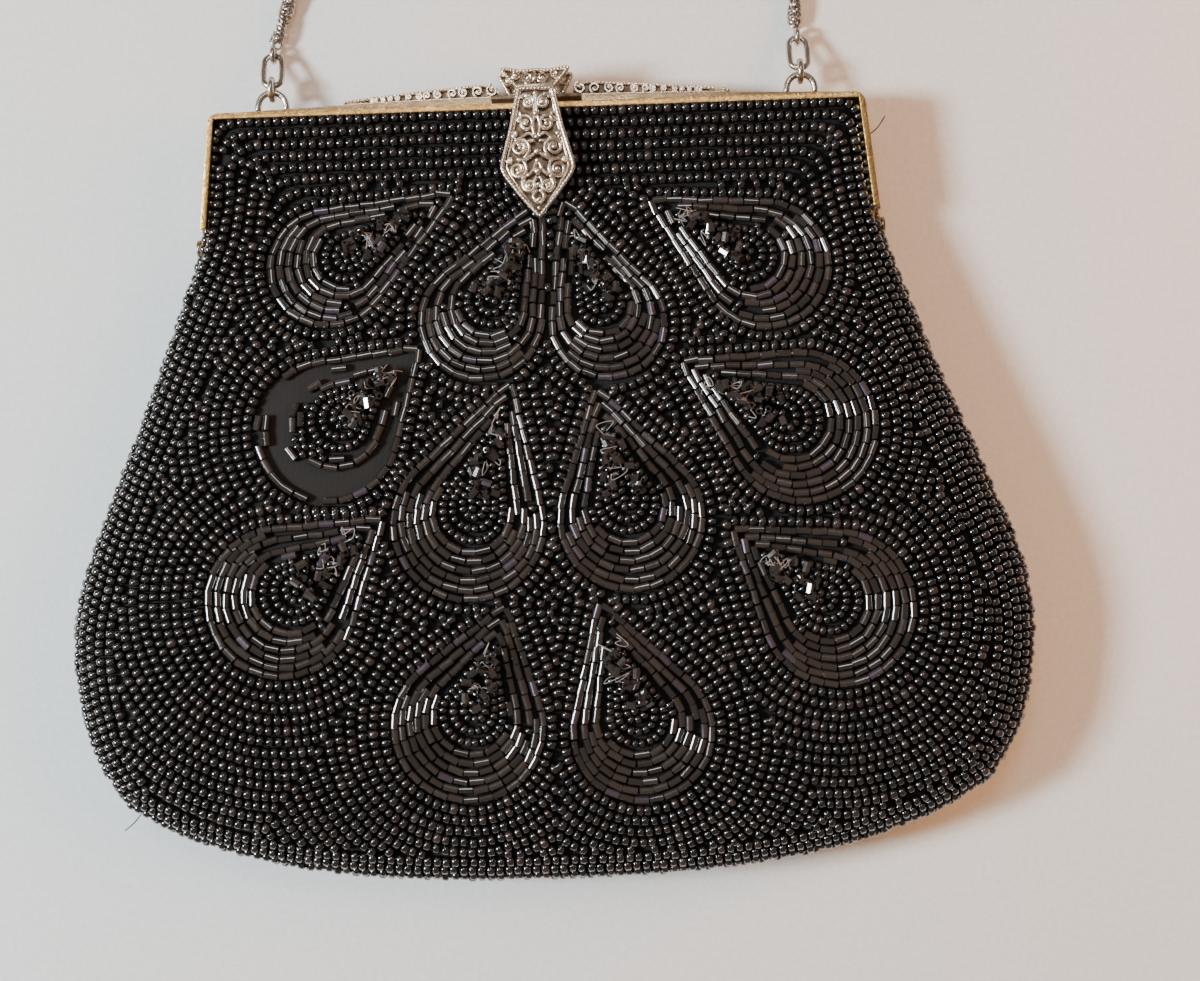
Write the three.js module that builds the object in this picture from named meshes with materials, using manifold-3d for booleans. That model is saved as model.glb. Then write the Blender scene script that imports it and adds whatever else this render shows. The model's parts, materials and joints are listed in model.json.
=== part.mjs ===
// Beaded evening bag with a hinged metal frame, a drop clasp and a chain handle.
// Millimetres. The bag lies flat on its back: +X to its right, +Y towards the frame, +Z out of its front.
// Heights (y) of the pieces are measured from the line through the corners of the front frame's bar.

import * as THREE from 'three';
import { mergeVertices } from 'three/addons/utils/BufferGeometryUtils.js';
import Module from 'manifold-3d';

const wasm = await Module();
wasm.setup();

// ---------------------------------------------------------------- driving dimensions

const GAP = 0.3; // clearance between neighbouring pieces
const FRAME_Y = 75.5; // height of the bar's corner line above the origin
const PARTING_Z = 9; // plane where the two frame halves meet

// the two frame halves
const FLARE = Math.tan(THREE.MathUtils.degToRad(5.8)); // how far the arms lean out
const ARM_FOOT = -23.5;
const LIP_INNER = -1.2; // lower edge of the bar's visible lip
const ARM_RIM = 1.2;
const CORNER = 2.4;
const RIM_DEPTH = 4.55;
const FLANGE = { bar: 6.8, arm: 4.5, thickness: 0.8 };
const FRONT = { half: 67, top: 0, bow: 1.1 };
const REAR = { half: 67.7, top: 0.8, bow: 1.4 };

// the hinges at the feet of the arms
const HINGE_Y = -27;
const EAR = { radius: 2.6, thickness: 0.8, tabTop: -19.5, front: 67.8, rear: 68.9 };
const RIVET = { shank: 0.8, head: 1.8, headThickness: 0.8, sink: 0.1 };

// the drop clasp
const PIN = { y: 2.9, z: 16.1, radius: 0.45, half: 3.4 };
const KNUCKLE = { radius: 1.1, bore: 0.75, inner: 1.6, outerStart: 1.9, outerEnd: 3.1 };
const PENDANT = { z: 15.6, thickness: 1.2 };
const PENDANT_EDGE = [ // right-hand edge, from the middle knuckle down to the tip
  [1.6, 2.9], [1.6, 1.5], [3.3, 1.5], [7.15, -11.5], [7.35, -12.9], [6.95, -13.9], [0.4, -22.8],
];
const LEAF = { bottom: 2.4, top: 7.3, waist: 3.2, head: 6.3, z: 13.9, thickness: 0.8 };
const LEAF_FOOT = { half: 3, z: 10.5 };
const KNUCKLE_POST = { z: 14.1, top: 3.4 }; // joins a fixed knuckle to the leaf's foot
const BASE_PLATE = { half: 13, bottom: 1.4, thickness: 0.7, z: 9.4, depth: 4.3 };
const SNAP_POST = { y: -0.1, radius: 0.9, z: 14, height: 1.2 };

// ornaments on the rear bar
const ORNAMENT_Z = 6.2;
const ORNAMENT_THICKNESS = 1;
const CREST = { bottom: 2.5, top: 7.5, foot: 5.5, head: 7.7 };
const GALLERY = { inner: 7.6, outer: 40, height: 2.5, tip: 0.3, taper: 0.8, steps: 9 };

// the lugs and the rings that carry the chain
const LUG = { x: 54.8, z: 6.5, half: 2.95, crown: 5.2, foot: 1.6, wire: 0.55, sides: 8, steps: 22 };
const HANDLE_SLOPE = THREE.MathUtils.degToRad(25); // how the rings fall from the lug to the table
const JUMP_RING = { reach: 0.75, radius: 2.1, wire: 0.5 };
const OVAL_RING = { reach: 5.45, radius: 1.95, wire: 0.5, straight: 3.9 };
const END_RING = { reach: 9.6, radius: 1.5, wire: 0.45 };
const RING_FACETS = { around: 16, section: 8 };

// the chain, from the left end ring round to the right one
const CHAIN = { radius: 1.7, sides: 8, steps: 76 };
const CHAIN_ROUTE = [
  [-54.4, 16.2, 1.8], [-51.6, 24, 1.8], [-49.4, 34, 1.8], [-49, 47, 1.8], [-49.6, 62, 1.8],
  [-48.4, 78, 1.8], [-42.5, 95, 1.8], [-31, 108, 1.8], [-16, 116, 1.8], [1, 118.5, 1.8],
  [18, 116, 1.8], [33, 108.5, 1.8], [44.5, 96, 1.8], [51, 80, 1.8], [53.6, 63, 1.8],
  [54.6, 46, 1.8], [54.9, 31, 1.8], [54.4, 16.2, 1.8],
];

// the bag: seam line on the right-hand side, from the bar down to the lower corner, and the bottom seam
const SIDE_SEAM = [
  [66.5, -1.6], [68.9, -24], [73.6, -38], [81.9, -60], [90.3, -80], [96.8, -98], [98.2, -111], [94.8, -130],
  [88.2, -141.2],
];
const BOTTOM_SEAM = [[88.2, -141.2], [76, -147.8], [55, -154.3], [28, -157.8], [0, -158.5]];
const PANEL = { thickness: 2.4, seam: 2.2, columns: 14 };
const LOWER_TOP = -33; // top edge of the lower front panel, clear of the swinging upper one and the pendant
const LOWER_ROWS = [-48, -64, -80, -98, -114, -127, -135.5, -139.7, -141.2]; // rows of both panels, at the sides
const BACK_ROWS = [-1.6, -15, -29.4, -33.6];
const LINING = { thickness: 0.5 };
const SEAM_STEPS = { side: 120, bottom: 160 };
const CUT = 1; // how far a cutting shape runs past what it cuts
const FRONT_PUFF = { atFrame: 2.3, full: 12.3, starts: 15, grows: 60, edgeAtFrame: 6, edge: 45 };
const BACK_PUFF = { atFrame: 2.2, full: 6.8, starts: 5, grows: 38, edgeAtFrame: 6, edge: 22 };
const PILLOW_POWER = 2.3;
const UPPER_PANEL = { top: -1.6, bottom: -22.5, margin: 1.95, low: 10.25, high: 13.4 };
const UPPER_LINING = { top: -8.4, bottom: -22.5, margin: 4.9, low: 9.5, high: 10 };
const BACK_SHOULDER = [[64.3, -1.6], [65.4, -15], [66.4, -29.4], [71.4, -33.6]]; // edge inside the arms
const POCKET = { half: 45, top: -60, bottom: -114, z: 3.5, thickness: 0.6 };

// ---------------------------------------------------------------- materials

const metal = (color, roughness) => new THREE.MeshStandardMaterial({ color, roughness, metalness: 1 });
const cloth = (color, roughness) => new THREE.MeshStandardMaterial({ color, roughness, metalness: 0 });
const gilt = () => metal('#b89258', 0.35);
const rearGilt = () => metal('#b39a80', 0.32);
const silver = () => metal('#9c8f80', 0.38);
const chainSilver = () => metal('#a39b90', 0.3);
const beads = () => cloth('#0d0b0b', 0.25);
const satin = () => cloth('#141214', 0.5);

// ---------------------------------------------------------------- shared shape tools

/** A manifold solid of a closed geometry. */
function solid(geometry) {
  const bare = geometry.clone();
  bare.deleteAttribute('normal');
  bare.deleteAttribute('uv');
  const merged = mergeVertices(bare, 1e-4);
  return new wasm.Manifold(new wasm.Mesh({
    numProp: 3,
    vertProperties: new Float32Array(merged.attributes.position.array),
    triVerts: new Uint32Array(merged.index.array),
  }));
}

/** The geometry of a manifold solid. */
function geometryOf(manifold) {
  const mesh = manifold.getMesh();
  const geometry = new THREE.BufferGeometry();
  geometry.setAttribute('position', new THREE.BufferAttribute(new Float32Array(mesh.vertProperties), 3));
  geometry.setIndex(new THREE.BufferAttribute(new Uint32Array(mesh.triVerts), 1));
  return geometry;
}

/** Flat plate in the XY plane, from z upwards. */
function plate(shape, z, thickness, curveSegments = 8) {
  const geometry = new THREE.ExtrudeGeometry(shape, { depth: thickness, bevelEnabled: false, curveSegments });
  return geometry.translate(0, 0, z);
}

/** Shape through a list of [x, y] points. */
const outline = (points) => new THREE.Shape(points.map(([x, y]) => new THREE.Vector2(x, y)));

/** Right-hand points followed by the same points mirrored, for a shape that is symmetric about x = 0. */
const mirrored = (points) => [...points, ...points.map(([x, y]) => [-x, y]).reverse()];

/** Cylinder along X. */
function rodX(radius, x0, x1, y, z, sides = 16) {
  return new THREE.CylinderGeometry(radius, radius, x1 - x0, sides)
    .rotateZ(Math.PI / 2)
    .translate((x0 + x1) / 2, y, z);
}

/** Box between two corners. */
function block([x0, y0, z0], [x1, y1, z1]) {
  return new THREE.BoxGeometry(x1 - x0, y1 - y0, z1 - z0)
    .translate((x0 + x1) / 2, (y0 + y1) / 2, (z0 + z1) / 2);
}

/** Round wire or rod along a curve; an arc shape splits each of its segments in two. */
function tube(curve, radius, sides, steps) {
  const section = new THREE.Shape();
  section.absarc(0, 0, radius, 0, 2 * Math.PI);
  return new THREE.ExtrudeGeometry(section, { steps, extrudePath: curve, curveSegments: sides / 2 });
}

const lerp = THREE.MathUtils.lerp;
const smooth = (value) => THREE.MathUtils.smoothstep(value, 0, 1);

// ---------------------------------------------------------------- frame

/** Outer half width of a frame half at height y. */
const armX = (half, y) => half.half + FLARE * (half.top - y);

/** Height of a frame half's bowed top edge at x. */
const barTop = (half, x) => half.top + half.bow * (1 - (x / (half.half - CORNER)) ** 2);

/** Inverted U: arms of the given width under a bowed bar whose lower edge is straight. */
function archShape(half, armWidth, innerY) {
  const foot = armX(half, ARM_FOOT);
  const shoulderY = half.top - CORNER;
  const shoulder = armX(half, shoulderY);
  const flat = half.half - CORNER;
  const shape = new THREE.Shape();
  shape.moveTo(foot, ARM_FOOT);
  shape.lineTo(shoulder, shoulderY);
  shape.quadraticCurveTo(half.half, half.top, flat, half.top);
  shape.quadraticCurveTo(0, half.top + 2 * half.bow, -flat, half.top);
  shape.quadraticCurveTo(-half.half, half.top, -shoulder, shoulderY);
  shape.lineTo(-foot, ARM_FOOT);
  shape.lineTo(armWidth - foot, ARM_FOOT);
  shape.lineTo(armWidth - armX(half, innerY), innerY);
  shape.lineTo(armX(half, innerY) - armWidth, innerY);
  shape.lineTo(foot - armWidth, ARM_FOOT);
  return shape;
}

/** Hinge ear at a foot of the frame: a bored disc on a tab that runs up into the arm. */
function ear(x0, zLow, zHigh) {
  const x1 = x0 + EAR.thickness;
  const disc = solid(rodX(EAR.radius, x0, x1, HINGE_Y, PARTING_Z, 24));
  const tab = solid(block([x0, HINGE_Y, zLow], [x1, EAR.tabTop, zHigh]));
  const bore = solid(rodX(RIVET.shank + GAP, x0 - CUT, x1 + CUT, HINGE_Y, PARTING_Z));
  return disc.add(tab).subtract(bore);
}

/** One frame half: rim, the flange that the lining is glued to, and an ear at each foot. */
function frameHalf(half, rimZ, flangeZ, earX, tab) {
  const rim = solid(plate(archShape(half, ARM_RIM, LIP_INNER), rimZ, RIM_DEPTH));
  const flange = solid(plate(archShape(half, FLANGE.arm, LIP_INNER - FLANGE.bar), flangeZ, FLANGE.thickness));
  const right = ear(earX, ...tab);
  const left = right.mirror([1, 0, 0]);
  return geometryOf(rim.add(flange).add(right).add(left));
}

const seat = PARTING_Z - GAP / 2; // top of the rear half
const rise = PARTING_Z + GAP / 2; // bottom of the front half
const rearFrame = () => frameHalf(REAR, seat - RIM_DEPTH, seat - FLANGE.thickness, EAR.rear,
  [PARTING_Z - EAR.radius, seat]);
const frontFrame = () => frameHalf(FRONT, rise, rise, EAR.front, [rise, PARTING_Z + EAR.radius]);

/** Rivet through both ears, with a head on each side. */
function hingeRivet(side) {
  const innerEnd = EAR.front - GAP;
  const outerEnd = EAR.rear + EAR.thickness + GAP;
  const shank = solid(rodX(RIVET.shank, innerEnd - RIVET.sink, outerEnd + RIVET.sink, HINGE_Y, PARTING_Z));
  const innerHead = solid(rodX(RIVET.head, innerEnd - RIVET.headThickness, innerEnd, HINGE_Y, PARTING_Z));
  const outerHead = solid(rodX(RIVET.head, outerEnd, outerEnd + RIVET.headThickness, HINGE_Y, PARTING_Z));
  const rivet = shank.add(innerHead).add(outerHead);
  return geometryOf(side < 0 ? rivet.mirror([1, 0, 0]) : rivet);
}

// ---------------------------------------------------------------- clasp and ornaments

/** Knuckle of the clasp hinge, before its bore is cut. */
const knuckle = (x0, x1) => solid(rodX(KNUCKLE.radius, x0, x1, PIN.y, PIN.z));

/** Shape that cuts the knuckles' bore through whatever they are joined to. */
const pinBore = (x0, x1) => solid(rodX(KNUCKLE.bore, x0, x1, PIN.y, PIN.z, 12));

/** Fixed leaf of the clasp: a flared plate above the bar, its foot, and two knuckles. */
function claspBracket() {
  const leafShape = outline(mirrored([[LEAF.waist, LEAF.bottom], [LEAF.head, LEAF.top]]));
  const leaf = solid(plate(leafShape, LEAF.z, LEAF.thickness));
  const footTop = LEAF.bottom + LEAF.thickness;
  const foot = solid(block([-LEAF_FOOT.half, LEAF.bottom, LEAF_FOOT.z],
    [LEAF_FOOT.half, footTop, LEAF.z + LEAF.thickness / 2]));
  const post = solid(block([KNUCKLE.outerStart, LEAF.bottom, KNUCKLE_POST.z],
    [KNUCKLE.outerEnd, KNUCKLE_POST.top, PIN.z]));
  const right = knuckle(KNUCKLE.outerStart, KNUCKLE.outerEnd).add(post);
  const left = right.mirror([1, 0, 0]);
  return geometryOf(leaf.add(foot).add(right).add(left).subtract(pinBore(-PIN.half - CUT, PIN.half + CUT)));
}

/** Swinging pendant of the clasp with its middle knuckle. */
function claspPendant() {
  const body = solid(plate(outline(mirrored(PENDANT_EDGE)), PENDANT.z, PENDANT.thickness));
  const barrel = knuckle(-KNUCKLE.inner, KNUCKLE.inner);
  return geometryOf(body.add(barrel).subtract(pinBore(-KNUCKLE.inner - CUT, KNUCKLE.inner + CUT)));
}

const claspPin = () => rodX(PIN.radius, -PIN.half, PIN.half, PIN.y, PIN.z, 12);

const claspBase = () => block(
  [-BASE_PLATE.half, BASE_PLATE.bottom, BASE_PLATE.z],
  [BASE_PLATE.half, BASE_PLATE.bottom + BASE_PLATE.thickness, BASE_PLATE.z + BASE_PLATE.depth],
);

/** Little post on the front lip that the pendant snaps down on. */
const snapPost = () => new THREE.CylinderGeometry(SNAP_POST.radius, SNAP_POST.radius, SNAP_POST.height, 16)
  .rotateX(Math.PI / 2)
  .translate(0, SNAP_POST.y, SNAP_POST.z + SNAP_POST.height / 2);

const rearCrest = () => plate(outline(mirrored([[CREST.foot, CREST.bottom], [CREST.head, CREST.top]])),
  ORNAMENT_Z, ORNAMENT_THICKNESS);

/** Leaf-shaped gallery on the rear bar, highest beside the clasp. */
function gallery(side) {
  const lower = [];
  const upper = [];
  for (let step = 0; step <= GALLERY.steps; step += 1) {
    const along = step / GALLERY.steps;
    const x = side * lerp(GALLERY.inner, GALLERY.outer, along);
    const base = barTop(REAR, x) + GAP;
    lower.push([x, base]);
    upper.push([x, base + GALLERY.tip + GALLERY.height * (1 - along) ** GALLERY.taper]);
  }
  return plate(outline([...lower, ...upper.reverse()]), ORNAMENT_Z, ORNAMENT_THICKNESS);
}

// ---------------------------------------------------------------- lugs, rings and chain

/** Wire arch that stands on the rear bar. */
function handleLug(side) {
  const springing = LUG.crown - LUG.half;
  const points = [[-LUG.half, LUG.foot]];
  const arcSteps = 6;
  for (let step = 0; step <= arcSteps; step += 1) {
    const angle = Math.PI * (1 - step / arcSteps);
    points.push([LUG.half * Math.cos(angle), springing + LUG.half * Math.sin(angle)]);
  }
  points.push([LUG.half, LUG.foot]);
  const curve = new THREE.CatmullRomCurve3(
    points.map(([x, y]) => new THREE.Vector3(side * LUG.x + x, y, LUG.z)),
    false,
    'centripetal',
  );
  return tube(curve, LUG.wire, LUG.sides, LUG.steps);
}

/** Link of round wire in the local XY plane, stretched along Y by a straight length. */
function link(radius, wire, straight) {
  const { around, section } = RING_FACETS;
  const geometry = new THREE.TorusGeometry(radius, wire, section, around).rotateZ(Math.PI / around);
  const position = geometry.attributes.position;
  for (let index = 0; index < position.count; index += 1) {
    const y = position.getY(index);
    position.setY(index, y + Math.sign(y) * straight / 2);
  }
  return geometry;
}

/** Places a link on the line that falls from the lug's crown to the table. */
function placeRing(mesh, side, reach) {
  mesh.position.set(side * LUG.x, LUG.crown + reach * Math.cos(HANDLE_SLOPE), LUG.z - reach * Math.sin(HANDLE_SLOPE));
  mesh.rotation.set(-HANDLE_SLOPE, 0, 0);
}

const chainCurve = new THREE.CatmullRomCurve3(CHAIN_ROUTE.map((point) => new THREE.Vector3(...point)));

// ---------------------------------------------------------------- bag panels

const flatCurve = (points) => new THREE.CatmullRomCurve3(
  points.map(([x, y]) => new THREE.Vector3(x, y, 0)), false, 'centripetal');
const sideSeam = flatCurve(SIDE_SEAM);
const bottomSeam = flatCurve([...BOTTOM_SEAM, ...BOTTOM_SEAM.slice(0, -1).map(([x, y]) => [-x, y]).reverse()]);
const seamPoints = [...sideSeam.getSpacedPoints(SEAM_STEPS.side),
  ...bottomSeam.getSpacedPoints(SEAM_STEPS.bottom).slice(1)];
const seamLines = seamPoints.slice(1).map((point, index) => new THREE.Line3(seamPoints[index], point));

/** Distance from a point to the seam that runs down the sides and along the bottom. */
function seamDistance(x, y) {
  const point = new THREE.Vector3(Math.abs(x), y, 0);
  const nearest = new THREE.Vector3();
  const reach = (line) => line.closestPointToPoint(point, true, nearest).distanceTo(point);
  return Math.min(...seamLines.map(reach));
}

/** Rounded edge profile: 0 at the seam, 1 from the given distance inwards. */
function pillow(distance, reach) {
  const away = 1 - Math.min(distance / reach, 1);
  return (1 - away ** PILLOW_POWER) ** (1 / PILLOW_POWER);
}

/** Rise of a panel over its seam at a point. */
function puff(spec, x, y) {
  const grown = smooth((-y - spec.starts) / spec.grows);
  const reach = lerp(spec.edgeAtFrame, spec.edge, grown);
  return PANEL.seam + lerp(spec.atFrame, spec.full, grown) * pillow(seamDistance(x, y), reach);
}

const frontOuter = (x, y) => PARTING_Z + puff(FRONT_PUFF, x, y);
const frontInner = (x, y) => Math.max(frontOuter(x, y) - PANEL.thickness, rise);
const backOuter = (x, y) => PARTING_Z - puff(BACK_PUFF, x, y);
const backInner = (x, y) => Math.min(backOuter(x, y) + PANEL.thickness, seat);

/** Point on a side edge at a height. */
function edgePoint(edge, y) {
  let low = 0;
  let high = 1;
  const halvings = 40;
  for (let step = 0; step < halvings; step += 1) {
    const middle = (low + high) / 2;
    if (edge.getPointAt(middle).y > y) low = middle;
    else high = middle;
  }
  return edge.getPointAt(high);
}

/** Grid of [x, y] points between the side edges and the bottom seam, with rows at given heights on the side. */
function patch(edge, heights) {
  const top = edgePoint(edge, heights[0]);
  const corner = edgePoint(edge, heights[heights.length - 1]);
  const grid = [];
  for (const height of heights) {
    const down = (height - heights[0]) / (corner.y - heights[0]);
    const right = edgePoint(edge, height);
    const line = [];
    for (let column = 0; column <= PANEL.columns; column += 1) {
      const across = (1 - Math.cos(Math.PI * (column / PANEL.columns))) / 2;
      const bottom = bottomSeam.getPointAt(1 - across);
      const x = lerp((2 * across - 1) * top.x, bottom.x, down)
        + (2 * across - 1) * (right.x - lerp(top.x, corner.x, down));
      const y = lerp(top.y, bottom.y, down) + (right.y - lerp(top.y, corner.y, down));
      line.push([x, y]);
    }
    grid.push(line);
  }
  return grid;
}

/** Closed sheet over a grid, between two height functions. */
function sheet(grid, lowZ, highZ) {
  const rows = grid.length;
  const columns = grid[0].length;
  const low = (row, column) => row * columns + column;
  const high = (row, column) => rows * columns + low(row, column);
  const vertices = [lowZ, highZ].flatMap((z) => grid.flatMap((line) => line.flatMap(([x, y]) => [x, y, z(x, y)])));
  const faces = [];
  const quad = (a, b, c, d) => faces.push(a, b, c, a, c, d);
  for (let row = 0; row < rows - 1; row += 1) {
    for (let column = 0; column < columns - 1; column += 1) {
      quad(high(row, column), high(row + 1, column), high(row + 1, column + 1), high(row, column + 1));
      quad(low(row, column), low(row, column + 1), low(row + 1, column + 1), low(row + 1, column));
    }
    const last = columns - 1;
    quad(low(row, 0), low(row + 1, 0), high(row + 1, 0), high(row, 0));
    quad(low(row, last), high(row, last), high(row + 1, last), low(row + 1, last));
  }
  for (let column = 0; column < columns - 1; column += 1) {
    const last = rows - 1;
    quad(low(0, column), high(0, column), high(0, column + 1), low(0, column + 1));
    quad(low(last, column), low(last, column + 1), high(last, column + 1), high(last, column));
  }
  const geometry = new THREE.BufferGeometry();
  geometry.setAttribute('position', new THREE.Float32BufferAttribute(vertices, 3));
  geometry.setIndex(faces);
  return geometry;
}

/** Part of a grid one cell in from its sides and its bottom. */
const insetGrid = (grid, firstRow) => grid.slice(firstRow, -1).map((line) => line.slice(1, -1));

const frontGrid = patch(sideSeam, [LOWER_TOP, ...LOWER_ROWS]);
const backSide = [...BACK_SHOULDER, ...SIDE_SEAM.filter(([, y]) => y < BACK_ROWS[BACK_ROWS.length - 1] - 1)];
const backEdge = flatCurve(backSide);
const backGrid = patch(backEdge, [...BACK_ROWS, ...LOWER_ROWS]);

/** Flat piece between the arms of the front frame half. */
function betweenArms(spec) {
  const half = (y) => armX(FRONT, y) - spec.margin;
  const shape = outline(mirrored([[half(spec.bottom), spec.bottom], [half(spec.top), spec.top]]));
  return plate(shape, spec.low, spec.high - spec.low);
}

const pocket = () => block([-POCKET.half, POCKET.bottom, POCKET.z],
  [POCKET.half, POCKET.top, POCKET.z + POCKET.thickness]);

// ---------------------------------------------------------------- assembly

const bag = new THREE.Group();
bag.position.y = FRAME_Y;

/** Adds a named piece to the bag. */
function add(name, geometry, material) {
  const mesh = new THREE.Mesh(geometry, material);
  mesh.name = name;
  bag.add(mesh);
  return mesh;
}

add('rear_frame', rearFrame(), rearGilt());
add('front_frame', frontFrame(), gilt());
add('clasp_base', claspBase(), gilt());
add('clasp_bracket', claspBracket(), silver());
add('clasp_pendant', claspPendant(), silver());
add('clasp_pin', claspPin(), silver());
add('snap_post', snapPost(), silver());
add('rear_crest', rearCrest(), silver());

for (const [sideName, side] of [['left', -1], ['right', 1]]) {
  add(`hinge_rivet_${sideName}`, hingeRivet(side), rearGilt());
  add(`gallery_${sideName}`, gallery(side), silver());
  add(`handle_lug_${sideName}`, handleLug(side), chainSilver());

  const jumpRing = add(`jump_ring_${sideName}`, link(JUMP_RING.radius, JUMP_RING.wire, 0).rotateY(Math.PI / 2),
    chainSilver());
  placeRing(jumpRing, side, JUMP_RING.reach);
  const ovalRing = add(`oval_ring_${sideName}`, link(OVAL_RING.radius, OVAL_RING.wire, OVAL_RING.straight),
    chainSilver());
  placeRing(ovalRing, side, OVAL_RING.reach);
  const endRing = add(`end_ring_${sideName}`, link(END_RING.radius, END_RING.wire, 0).rotateY(Math.PI / 2),
    chainSilver());
  placeRing(endRing, side, END_RING.reach);
}

add('chain', tube(chainCurve, CHAIN.radius, CHAIN.sides, CHAIN.steps), chainSilver());

add('front_panel_upper', betweenArms(UPPER_PANEL), beads());
add('front_panel_lower', sheet(frontGrid, frontInner, frontOuter), beads());
add('back_panel', sheet(backGrid, backOuter, backInner), beads());
add('front_lining_upper', betweenArms(UPPER_LINING), satin());
add('front_lining_lower', sheet(insetGrid(frontGrid, 0),
  (x, y) => frontInner(x, y) - GAP - LINING.thickness, (x, y) => frontInner(x, y) - GAP), satin());
add('back_lining', sheet(insetGrid(backGrid, 1),
  (x, y) => backInner(x, y) + GAP, (x, y) => backInner(x, y) + GAP + LINING.thickness), satin());
add('inner_pocket', pocket(), satin());

export default bag;
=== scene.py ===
"""A beaded evening bag lying on a pale table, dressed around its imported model."""

import json
import logging
import math
from collections.abc import Callable, Sequence
from dataclasses import dataclass, field
from enum import Enum

import bpy
import numpy as np
from mathutils import Matrix, Vector

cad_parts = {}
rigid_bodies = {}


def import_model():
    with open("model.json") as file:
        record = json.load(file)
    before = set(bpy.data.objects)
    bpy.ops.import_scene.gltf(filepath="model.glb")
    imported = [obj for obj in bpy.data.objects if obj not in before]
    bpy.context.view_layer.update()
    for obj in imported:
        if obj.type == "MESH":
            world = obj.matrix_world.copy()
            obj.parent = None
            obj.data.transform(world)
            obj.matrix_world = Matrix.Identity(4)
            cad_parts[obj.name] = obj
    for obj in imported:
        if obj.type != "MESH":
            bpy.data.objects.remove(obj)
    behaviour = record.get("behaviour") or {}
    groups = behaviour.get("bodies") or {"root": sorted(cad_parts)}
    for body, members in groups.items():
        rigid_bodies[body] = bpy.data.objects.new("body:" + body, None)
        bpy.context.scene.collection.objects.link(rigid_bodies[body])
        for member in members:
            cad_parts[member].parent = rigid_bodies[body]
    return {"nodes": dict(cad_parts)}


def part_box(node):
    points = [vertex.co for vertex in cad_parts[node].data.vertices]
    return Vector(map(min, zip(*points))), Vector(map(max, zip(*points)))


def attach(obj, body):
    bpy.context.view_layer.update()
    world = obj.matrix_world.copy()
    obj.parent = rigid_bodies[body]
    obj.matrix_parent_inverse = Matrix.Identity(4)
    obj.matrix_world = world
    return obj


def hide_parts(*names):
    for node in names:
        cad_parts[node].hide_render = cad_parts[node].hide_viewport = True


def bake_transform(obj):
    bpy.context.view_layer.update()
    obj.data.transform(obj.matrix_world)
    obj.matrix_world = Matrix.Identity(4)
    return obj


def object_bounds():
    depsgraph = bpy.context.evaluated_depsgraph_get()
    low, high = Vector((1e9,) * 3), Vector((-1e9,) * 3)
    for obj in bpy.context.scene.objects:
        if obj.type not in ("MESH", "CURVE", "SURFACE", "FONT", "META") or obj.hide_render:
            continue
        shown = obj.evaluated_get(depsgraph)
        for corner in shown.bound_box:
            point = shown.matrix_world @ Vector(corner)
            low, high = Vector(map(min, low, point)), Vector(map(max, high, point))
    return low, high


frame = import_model()
cad_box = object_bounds()

MM = 0.001
LOG = logging.getLogger("evening_bag")
BASE_ABOVE_DATUM = 1.4  # the clasp base's lower edge above the line through the bar's corners, in mm
DATUM_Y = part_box("clasp_base")[0][1] / MM - BASE_ABOVE_DATUM  # row height of that line, in mm
MIDDLE = np.array([0.0, -80.0])  # a place well inside the bag's outline, in mm
SHARP_METAL = 35.0  # degrees past which a metal edge stays sharp

Points = np.ndarray


def to_row(points: Points) -> Points:
    """Turns millimetre points measured from the bar's corner line into metres in the row frame.

    Args:
        points: Rows of x, y, z.

    Returns:
        The same points in metres.
    """
    return (np.asarray(points, float) + (0.0, DATUM_Y, 0.0)) * MM


def smooth(value: Points) -> Points:
    """Smoothstep of a value clipped to 0 and 1."""
    clipped = np.clip(value, 0.0, 1.0)
    return clipped * clipped * (3.0 - 2.0 * clipped)


# ------------------------------------------------------------------------------------------------ shaders


class Value:
    """A number-valued shader socket that Python arithmetic can use."""

    def __init__(self, graph: "Graph", socket: bpy.types.NodeSocket) -> None:
        """Wraps a socket of a graph."""
        self.graph = graph
        self.socket = socket

    def maths(self, operation: str, *terms: "Value | float") -> "Value":
        """Adds one Math node.

        Args:
            operation: The Math node's operation.
            terms: Its inputs in order.

        Returns:
            The node's result.
        """
        return self.graph.value("ShaderNodeMath", {"operation": operation}, dict(enumerate(terms)))

    def __add__(self, other: "Value | float") -> "Value":
        """Sum."""
        return self.maths("ADD", self, other)

    __radd__ = __add__

    def __mul__(self, other: "Value | float") -> "Value":
        """Product."""
        return self.maths("MULTIPLY", self, other)

    __rmul__ = __mul__

    def __sub__(self, other: "Value | float") -> "Value":
        """Difference."""
        return self.maths("SUBTRACT", self, other)

    def __rsub__(self, other: float) -> "Value":
        """Difference from a number."""
        return self.maths("SUBTRACT", other, self)

    def above(self, edge: float) -> "Value":
        """1 where the value is over an edge, else 0."""
        return self.maths("GREATER_THAN", self, edge)


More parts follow.
